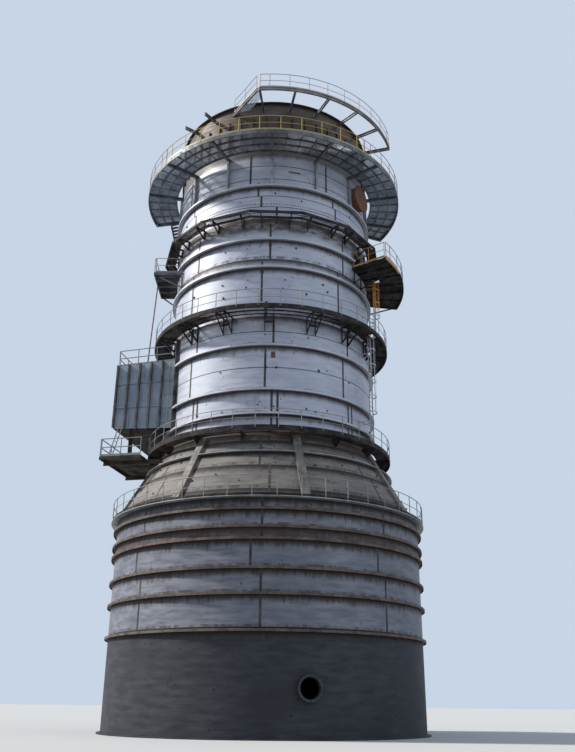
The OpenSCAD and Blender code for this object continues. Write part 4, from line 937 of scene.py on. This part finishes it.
def make_left_balcony():
    deck, bars, rail = Shape(), Shape(), Shape()
    place = facing(LEFT_AZ)
    z, edge_in = LEFT_DECK_Z, LEFT_D - EDGE_T
    x0, x1 = EDGE_T - LEFT_BACK, LEFT_FRONT - EDGE_T
    straight_bars(deck, place, x0, x1, lambda x: shell_y(x, 0.02), edge_in, z)
    for inset in LEFT_RODS:
        d = LEFT_D - inset
        start = x0 if d > SHELL_R else shell_y(d, 0.05)
        deck.box(place, (x1 - start, 2 * BAR_T, BAR_T), ((start + x1) / 2, -d, z - BAR_T))
    straight_frame(bars, place, -LEFT_BACK, LEFT_FRONT, shell_y, LEFT_D, z)
    for x in LEFT_JOISTS:
        bars.prism(place, joist(x, z - DECK_T, 0.13, 0.01), JOIST_END - LEFT_D, -shell_y(x - JOIST_W / 2))
    for x in (KNEE_INSET - LEFT_BACK, LEFT_FRONT - KNEE_INSET):
        wall = shell_y(max(abs(x) - BRACKET_T / 2, 0))
        knee(bars, shifted(place, x), wall, edge_in, z - EDGE_H - SEAT)
    d = LEFT_D - BALCONY_INSET
    straight_rail(rail, place @ Vector((-LEFT_BACK, -d, z)), place @ Vector((LEFT_FRONT, -d, z)))
    for x in (SIDE_INSET - LEFT_BACK, LEFT_FRONT - SIDE_INSET):
        wall = shell_y(max(abs(x) - SIDE_INSET, 0), 0.09)
        straight_rail(rail, place @ Vector((x, 0.06 - d, z)), place @ Vector((x, -wall, z)))
    make_deck("left_balcony", "left_balcony", deck, bars, section_steel)
    rail.make("left_balcony_tube_rail", rail_grey, ["left_balcony_rail"], "grey_rail")


ORANGE_TURN, RIGHT_JOISTS = 14.0, 7
RIGHT_KNEES, RIGHT_STRINGERS = (0.04, 0.22, 0.6, 0.96), (1.25, 1.9)


def make_right_balcony():
    deck, bars, edge = Shape(), Shape(), Shape()
    z, r1, edge_in = RIGHT_DECK_Z, RIGHT_R, RIGHT_R - EDGE_T
    end = degrees(EDGE_T / r1)
    grating(deck, RIGHT_A0 + end, RIGHT_A1 - end, SHELL_R + EDGE_T, edge_in, z, MIDDLE_LADDER_AZ)
    hatch_frame(bars, MIDDLE_LADDER_AZ, z)
    channel = edge_channel(edge_in, r1, z)
    edge.sweep(channel, RIGHT_A0, RIGHT_A0 + ORANGE_TURN)
    bars.sweep(channel, RIGHT_A0 + ORANGE_TURN, RIGHT_A1)
    bars.sweep(edge_channel(SHELL_R + EDGE_T, SHELL_R + SEAT, z), RIGHT_A0, RIGHT_A1)
    turn = RIGHT_A1 - RIGHT_A0
    half = degrees(JOIST_W / 2 / SHELL_R)
    section = joist(0, z - DECK_T, 0.14, FLAT_T)
    for i in range(RIGHT_JOISTS):
        a = RIGHT_A0 + turn * i / (RIGHT_JOISTS - 1)
        place = facing(min(max(a, RIGHT_A0 + half), RIGHT_A1 - half))
        bars.prism(place, section, JOIST_END - r1, -SHELL_R - JOIST_END)
    for out in RIGHT_STRINGERS:
        r0, r2 = SHELL_R + out - STRINGER_W / 2, SHELL_R + out + STRINGER_W / 2
        bars.band(r0, r2, z - STRINGER_H, z - BAR_H - 0.002, RIGHT_A0, RIGHT_A1)
    for share in RIGHT_KNEES:
        knee(bars, facing(RIGHT_A0 + share * turn), SHELL_R + SEAT, edge_in, z - EDGE_H - SEAT)
    make_deck("right_balcony", "right_balcony", deck, bars, dark_section)
    edge.make("right_balcony_edge", rail_orange, ["right_balcony"], "orange_rail")


# Weld seams, lugs and bolts on the shells

PLATES = 8
SEAM_W, SEAM_T, SEAM_IN, ROUND_HALF = 0.13, 0.006, 0.01, 0.02
UPPER_SEAMS = (
    (1.9, Z_1, Z_1 + 2.3), (4.9, Z_1, Z_1 + 2.3), (-1.7, Z_1 + 2.3, Z_1 + 5.08), (2.3, Z_1 + 5.08, Z_2 + 1.0),
    (-1.8, Z_2 + 1.0, Z_2 + 2.0), (-4.4, Z_2 + 2.0, Z_3), (-0.2, Z_3, Z_3 + 2.5), (3.0, Z_3 + 2.5, Z_3 + 3.8),
    (-5.7, Z_3 + 3.8, Z_3 + 4.6), (-7.5, Z_3 + 4.6, Z_3 + 5.6), (-12.3, Z_3 + 5.6, Z_CROWN),
)
LOWER_SEAMS = (
    (-0.7, Z_LOWER, Z_LOWER + 2.8), (-4.1, Z_LOWER + 2.8, Z_LOWER + 4.3), (-0.7, Z_LOWER + 4.3, Z_SHOULDER),
)
CONE_SEAMS = ((1.5, Z_CONE, CONE_ROUNDS[1]), (-2.5, *CONE_ROUNDS[1:]), (1.0, CONE_ROUNDS[2], Z_1))
ROUND_SEAMS = (Z_1 + 3.7, Z_2, Z_3, Z_3 + 3.35, Z_3 + 3.8, Z_3 + 4.6, Z_3 + 5.9, Z_3 + 6.9)
DUCT_HALF = 4.15
DUCT_TURN = degrees(asin((DUCT_HALF + 0.3) / SHELL_R))


def off_duct(azimuth, low, high):
    """True where a seam stays clear of the duct."""
    apart = abs((azimuth - DUCT_AZ + 180) % 360 - 180)
    return apart > DUCT_TURN + 3 or high < Z_1 + 1.2 or low > Z_2 - 0.5


def cone_skin(low, high, inside, outside):
    """Profile of a thin band on the cone between two heights."""
    r0, r1 = cone_r(low), cone_r(high)
    return [(r0 - inside, low), (r0 + outside, low), (r1 + outside, high), (r1 - inside, high)]


def make_seams():
    seams = Shape()
    for radius, plates in ((SHELL_R, UPPER_SEAMS), (LOWER_R, LOWER_SEAMS)):
        half = degrees(SEAM_W / 2 / radius)
        for start, low, high in plates:
            for a in (start + i * 360 / PLATES for i in range(PLATES)):
                if off_duct(a, low, high):
                    seams.band(radius - SEAM_IN, radius + SEAM_T, low, high, a - half, a + half)
    for z in ROUND_SEAMS:
        seams.band(SHELL_R - SEAM_IN, SHELL_R + SEAM_T, z - ROUND_HALF, z + ROUND_HALF)
    lean = CONE_SLOPE * ROUND_HALF
    for z in CONE_ROUNDS:
        low, high = z - ROUND_HALF, z + ROUND_HALF
        inside, outside = cone_r(z) - ROUND_HALF, cone_r(z) + SEAM_T
        seams.sweep([(inside, low), (outside + lean, low), (outside - lean, high), (inside, high)])
    for start, low, high in CONE_SEAMS:
        outline = [(-r, z) for r, z in cone_skin(low, high, SEAM_IN, SEAM_T)]
        for i in range(PLATES):
            seams.plate(facing(start + i * 360 / PLATES), outline, SEAM_W)
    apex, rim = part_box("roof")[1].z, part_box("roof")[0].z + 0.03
    outline = []
    for r, lift in ((0.3, -SEAM_IN), (SHELL_R - 0.1, -SEAM_IN), (SHELL_R - 0.1, SEAM_T), (0.3, SEAM_T)):
        outline.append((-r, apex + (rim - apex) * r / SHELL_R + lift))
    for i in range(2 * PLATES):
        seams.plate(facing(i * 180 / PLATES), outline, SEAM_W)
    seams.make("weld_seams", bead_dark, slot="bright_steel")


LUGS = (
    (-13, 32.0), (-2, 32.1), (2, 31.7), (-18, 31.2), (17, 31.3), (-26, 27.7), (-13, 27.7), (-6, 27.8),
    (14, 27.8), (35, 27.9), (8, 25.5), (7, 24.9), (20, 24.7), (-12, 25.5), (-13, 25.0), (-27, 25.4),
    (30, 25.6), (33, 25.2), (-26, 24.5), (-2, 21.8), (21, 21.8), (-1, 19.7), (4, 19.7), (27, 19.8),
    (32, 19.9), (-26, 19.6), (-5, 17.4), (3, 17.3), (20, 17.3), (25, 17.2), (32, 17.4), (-24, 17.1),
    (48, 19.6), (66, 24.9), (78, 19.8), (-48, 25.3), (-62, 31.3), (52, 31.6), (74, 17.3), (-40, 17.2),
)
LUG_W, LUG_H, LUG_REACH, LUG_HALF = 0.14, 0.16, 0.08, 0.03
CLIP_W, CLIP_DEEP, CLIP_H = 0.1, 0.16, 0.12
CLIP_ROWS = ((Z_CONE + 1.2, 30), (Z_CONE + 2.4, 26), (Z_CONE + 3.3, 18))
CONE_RIB_AZ, CONE_RIBS, RIB_CLEAR = 13.6, 8, 2.5
BOLTS, BOLTS_Z, BOLT_W = 240, Z_3 + 4.0, 0.07


def make_lugs():
    """Lifting lugs on the courses, clips between the cone's ribs and a row of bolts."""
    lugs = Shape()
    places = list(LUGS)
    for a, z in LUGS:
        behind = a + 180 + random.uniform(-8, 8)
        if off_duct(behind, z, z):
            places.append((behind, z + random.uniform(-0.1, 0.1)))
    for a, z in places:
        if off_duct(a, z, z):
            place = facing(a, SHELL_R, z)
            k = random.uniform(0.45, 0.9)
            lugs.box(place, (LUG_W * k, FLAT_T, LUG_H * k), (0, -0.004, 0))
            for x in (-LUG_HALF, LUG_HALF):
                lugs.box(place, (0.014, LUG_REACH * k, 0.12 * k), (x * k, -LUG_REACH / 2 * k, 0))
    pitch = 360 / CONE_RIBS
    for z, count in CLIP_ROWS:
        for i in range(count):
            a = (i + random.uniform(0.0, 1.0)) * 360 / count
            if abs((a - CONE_RIB_AZ + pitch / 2) % pitch - pitch / 2) > RIB_CLEAR:
                height = z + random.uniform(-0.35, 0.35)
                k = random.uniform(0.4, 0.8)
                place = facing(a, cone_r(height), height)
                lugs.box(place, (CLIP_W * k, CLIP_DEEP * k, CLIP_H * k), (0, -0.02 * k, 0))
    for i in range(BOLTS):
        lugs.bolt(facing(i * 360 / BOLTS, SHELL_R - 0.004, BOLTS_Z), BOLT_W, 0.03)
    lugs.make("shell_lugs", bead_dark, slot="bright_steel")


PRIMER_PATCHES = (
    (-0.2, 28.0, 0.22, 0.42), (-4.4, 26.1, 0.24, 0.36), (2.3, 20.5, 0.26, 0.4), (12.9, 33.4, 0.8, 0.12),
)
PAINT_T = 0.004


def make_patches():
    patches = Shape()
    for a, z, width, height in PRIMER_PATCHES:
        half, low, high = degrees(width / 2 / SHELL_R), z - height / 2, z + height / 2
        patches.band(SHELL_R - SEAM_IN, SHELL_R + PAINT_T, low, high, a - half, a + half, 0.5)
    patches.sweep(cone_skin(Z_CONE + 4.28, Z_1, 0.02, PAINT_T), 3, 22, 1.0)
    patches.make("primer_patches", primer, slot="red_primer")


MANWAY_AZ, MANWAY_Z, MANWAY_OUT, MANWAY_FLANGE_T = 14.5, 2.27, 0.26, 0.045
NOZZLE_AZ, NOZZLE_Z, NOZZLE_OUT = 60, Z_3 + 6.5, 0.4653
MANWAY_BOLTS, NOZZLE_BOLTS = (0.575, 24, 0.046, 0.03), (0.875, 32, 0.05, 0.034)
HANDLE_X, HANDLE_HALF, HANDLE_OUT, HANDLE_R = 0.3, 0.09, 0.07, 0.012


def ring_of_bolts(shape, place, radius, count, across, height):
    """Bolts round a circle in the X and Z of place."""
    for t in middles(0.0, 2 * pi, count):
        shape.bolt(shifted(place, radius * cos(t), 0, radius * sin(t)), across, height)


def make_bolts():
    """Bolts of the manway's flange on both sides, and of the nozzle's cover with its two handles."""
    manway, nozzle = Shape(), Shape()
    place = facing(MANWAY_AZ, LOWER_R + MANWAY_OUT, MANWAY_Z)
    for side in (place, shifted(place, y=MANWAY_FLANGE_T) @ Matrix.Rotation(pi, 4, "Z")):
        ring_of_bolts(manway, side, *MANWAY_BOLTS)
    manway.make("manway_bolts", section_steel)
    place = facing(NOZZLE_AZ, SHELL_R + NOZZLE_OUT, NOZZLE_Z)
    ring_of_bolts(nozzle, place, *NOZZLE_BOLTS)
    for x in (-HANDLE_X, HANDLE_X):
        x0, x1 = x - HANDLE_HALF, x + HANDLE_HALF
        path = [(x0, 0), (x0, -HANDLE_OUT), (x1, -HANDLE_OUT), (x1, 0)]
        nozzle.tube([place @ Vector((p, q, 0)) for p, q in path], HANDLE_R, 8)
    nozzle.make("nozzle_bolts", section_steel)


DUCT_END, DUCT_RIBS, DUCT_PITCH, DUCT_BARS = 9.0, 5, 0.75, 5
DUCT_FIRST_RIB, DUCT_RIB_HALF = DUCT_END - 0.06, 0.0105
DUCT_ROOT = sqrt(SHELL_R ** 2 - DUCT_HALF ** 2)
DUCT_SLOPE = 0.16 / (DUCT_END - DUCT_ROOT)
DUCT_LOW_Z, DUCT_TOP_Z = Z_1 + 1.27, Z_1 + 5.43
ANGLE_SHARES, UPRIGHTS_OUT = (0.32, 0.69), (0.22, 0.52)
UPRIGHT_W, UPRIGHT_T, DUCT_BAR_H = 0.07, 0.06, 0.06


def duct_low(d):
    """Height of the duct's floor at distance d from the axis."""
    return DUCT_LOW_Z - DUCT_SLOPE * (DUCT_END - d)


def duct_top(d):
    """Height of the duct's roof at distance d from the axis."""
    return DUCT_TOP_Z + DUCT_SLOPE * (DUCT_END - d)


def make_duct_angles():
    """Angles between the duct's ribs, and bars and uprights near the shell, on both sides."""
    angles, uprights = Shape(), Shape()
    place = facing(DUCT_AZ)
    near_bar, far_bar = DUCT_ROOT + 0.14, DUCT_FIRST_RIB - (DUCT_RIBS - 1) * DUCT_PITCH - 0.06
    for s in (-1, 1):
        for rib in (DUCT_FIRST_RIB - i * DUCT_PITCH for i in range(DUCT_RIBS - 1)):
            far, near = rib - DUCT_RIB_HALF, rib - DUCT_PITCH + DUCT_RIB_HALF
            for share in ANGLE_SHARES:
                z = duct_low(near) + share * (duct_top(near) - duct_low(near))
                outline = angle_outline(s * (DUCT_HALF + 0.001), z, s * 0.09, 0.05, 0.01)
                angles.prism(place, outline, -far, -near)
        for d in (DUCT_ROOT + out for out in UPRIGHTS_OUT):
            low, high = duct_low(d), duct_top(d)
            centre = (s * (DUCT_HALF + 0.035), -d, (high + low) / 2)
            uprights.box(place, (UPRIGHT_T, UPRIGHT_W, high - low - 0.3), centre)
        for z in middles(duct_low(DUCT_ROOT), duct_top(DUCT_ROOT), DUCT_BARS):
            centre = (s * (DUCT_HALF + 0.033), -(near_bar + far_bar) / 2, z + 0.008)
            uprights.box(place, (UPRIGHT_T + 0.004, far_bar - near_bar, DUCT_BAR_H), centre)
    angles.make("duct_angles", post_steel, slot="blue_grey_steel")
    uprights.make("duct_uprights", pale_sheet, slot="grey_rail")


DUCT_DECK_X0, DUCT_DECK_X1, DUCT_DECK_W = 1.2, 5.7, 2.6
DUCT_BEAM_SHARES = (0.12, 0.88)
DUCT_POST_W, DUCT_RODS = 0.2, 12


def make_duct_balcony():
    """Grating in a frame of channels on two beams that run to the cone, with the post up to the duct."""
    deck, bars = Shape(), Shape()
    place, z, back = facing(DUCT_AZ), DUCT_DECK_Z, DUCT_END - DUCT_DECK_W
    x0, x1, edge_in = DUCT_DECK_X0, DUCT_DECK_X1, DUCT_DECK_X1 - EDGE_T

    def bar_start(x):
        return max(back + EDGE_T, cone_y(x, z - BAR_H, 0.2))

    def side_start(x):
        return max(back, cone_y(x, z - EDGE_H, 0.2))

    straight_bars(deck, place, x0 + EDGE_T, edge_in, bar_start, DUCT_END - EDGE_T, z)
    for d in (back + i * DUCT_DECK_W / DUCT_RODS for i in range(1, DUCT_RODS)):
        start = max(x0 + EDGE_T, cone_y(d, z - BAR_H, 0.21, 0))
        centre = ((edge_in + start) / 2, -d, z - BAR_T - 0.001)
        deck.box(place, (edge_in - start, 2 * BAR_T, 2 * BAR_T), centre)
    straight_frame(bars, place, x0, x1, side_start, DUCT_END, z)
    bars.prism(place, edge_channel(-back - EDGE_T, -back, z), cone_y(back, z - EDGE_H, 0.21, 0), x1, 0)
    top = z - EDGE_H - SEAT
    for share in DUCT_BEAM_SHARES:
        x = x0 + share * (x1 - x0)
        section = moved(i_outline(TOP_BEAM_W, TOP_BEAM_H, FLAT_T, FLANGE_T), x, top - TOP_BEAM_H / 2)
        near = cone_y(max(x - TOP_BEAM_W / 2, 0), top - TOP_BEAM_H, 0.0)
        bars.prism(place, section, FASCIA_T - DUCT_END, -near)
    post_d = DUCT_FIRST_RIB - 1.5 * DUCT_PITCH
    post = shifted(facing(DUCT_AZ, post_d), DUCT_HALF - 0.02 - DUCT_POST_W / 2)
    high = duct_low(post_d) - DUCT_SLOPE * DUCT_POST_W / 2 - SEAT
    bars.prism(post, i_outline(DUCT_POST_W, DUCT_POST_W, FLAT_T, 0.016), z + SEAT, high, 2)
    make_deck("duct_balcony", "duct_balcony", deck, bars, brown_frame, "rusty_steel")


make_ring_rails()
make_top_rails()
make_right_rails()
make_crown_rail()
make_mid_walkway()
make_cone_walkway()
make_narrow_walkway()
make_left_balcony()
make_right_balcony()
make_top_platform()
make_crown()
make_chord_grating()
make_sheet()
make_seams()
make_lugs()
make_patches()
make_bolts()
make_duct_angles()
make_duct_balcony()

# Stage, lights and camera

EYE = Vector((1.114, -49.96, 1.6))
PITCH, ROLL, FOCAL_PX = 0.3841, 0.0095, 810.0
IMAGE_H = 752
SENSOR = 36.0
FLOOR_HALF = 400


def seen_directly(tree):
    """1 where the camera looks straight at something, or in a mirror or through glass."""
    rays = tree.nodes.new("ShaderNodeLightPath").outputs
    total = rays["Is Camera Ray"]
    for ray in ("Is Glossy Ray", "Is Transmission Ray"):
        node = add_node(tree, "ShaderNodeMath", [(0, total), (1, rays[ray])], operation="MAXIMUM")
        total = node.outputs["Value"]
    return total


def make_stage():
    """Pale floor that the camera sees, and that gives the column only a little light from below."""
    floor = Shape()
    corners = ((-1, -1), (1, -1), (1, 1), (-1, 1))
    floor.add([Vector((x * FLOOR_HALF, y * FLOOR_HALF, -0.002)) for x, y in corners], [(0, 1, 2, 3)])
    f = Finish("pale_floor", 0.0, 0.9)
    pale = f.mix(f.noise(0.05, 2), (0.62, 0.62, 0.61), (0.66, 0.66, 0.65))
    f.colour(f.mix(seen_directly(f.tree), (0.20, 0.20, 0.20), pale))
    obj = floor.linked("floor", f.material)


def sun(name, azimuth, elevation, energy, angle, colour):
    data = bpy.data.lights.new(name, "SUN")
    data.energy = energy
    data.angle = radians(angle)
    data.color = colour
    obj = linked(name, data)
    towards = polar(azimuth, cos(radians(elevation)), sin(radians(elevation)))
    obj.rotation_mode = "QUATERNION"
    obj.rotation_quaternion = towards.to_track_quat("Z", "Y")


AMBIENT, BACKDROP = 0.46, 0.84


def make_light():
    world = bpy.data.worlds.new("studio")
    world.use_nodes = True
    tree = world.node_tree
    background = tree.nodes["Background"].inputs
    background["Color"].default_value = (0.68, 0.79, 0.94, 1.0)
    inputs = [("Value", seen_directly(tree)), ("To Min", AMBIENT), ("To Max", BACKDROP)]
    tree.links.new(add_node(tree, "ShaderNodeMapRange", inputs).outputs["Result"], background["Strength"])
    bpy.context.scene.world = world
    sun("key", -94, 38, 3.7, 5, (1.0, 0.96, 0.90))
    sun("fill", 60, 30, 0.3, 40, (0.82, 0.90, 1.0))


def make_camera():
    data = bpy.data.cameras.new("camera")
    data.sensor_width = SENSOR
    data.lens = FOCAL_PX / IMAGE_H * SENSOR
    data.clip_end = 1000
    obj = linked("camera", data)
    aim = Matrix.Rotation(pi / 2 + PITCH, 4, "X") @ Matrix.Rotation(ROLL, 4, "Z")
    obj.matrix_world = Matrix.Translation(EYE) @ aim
    bpy.context.scene.camera = obj


make_stage()
make_light()
make_camera()
bpy.context.scene.view_settings.view_transform = "Standard"
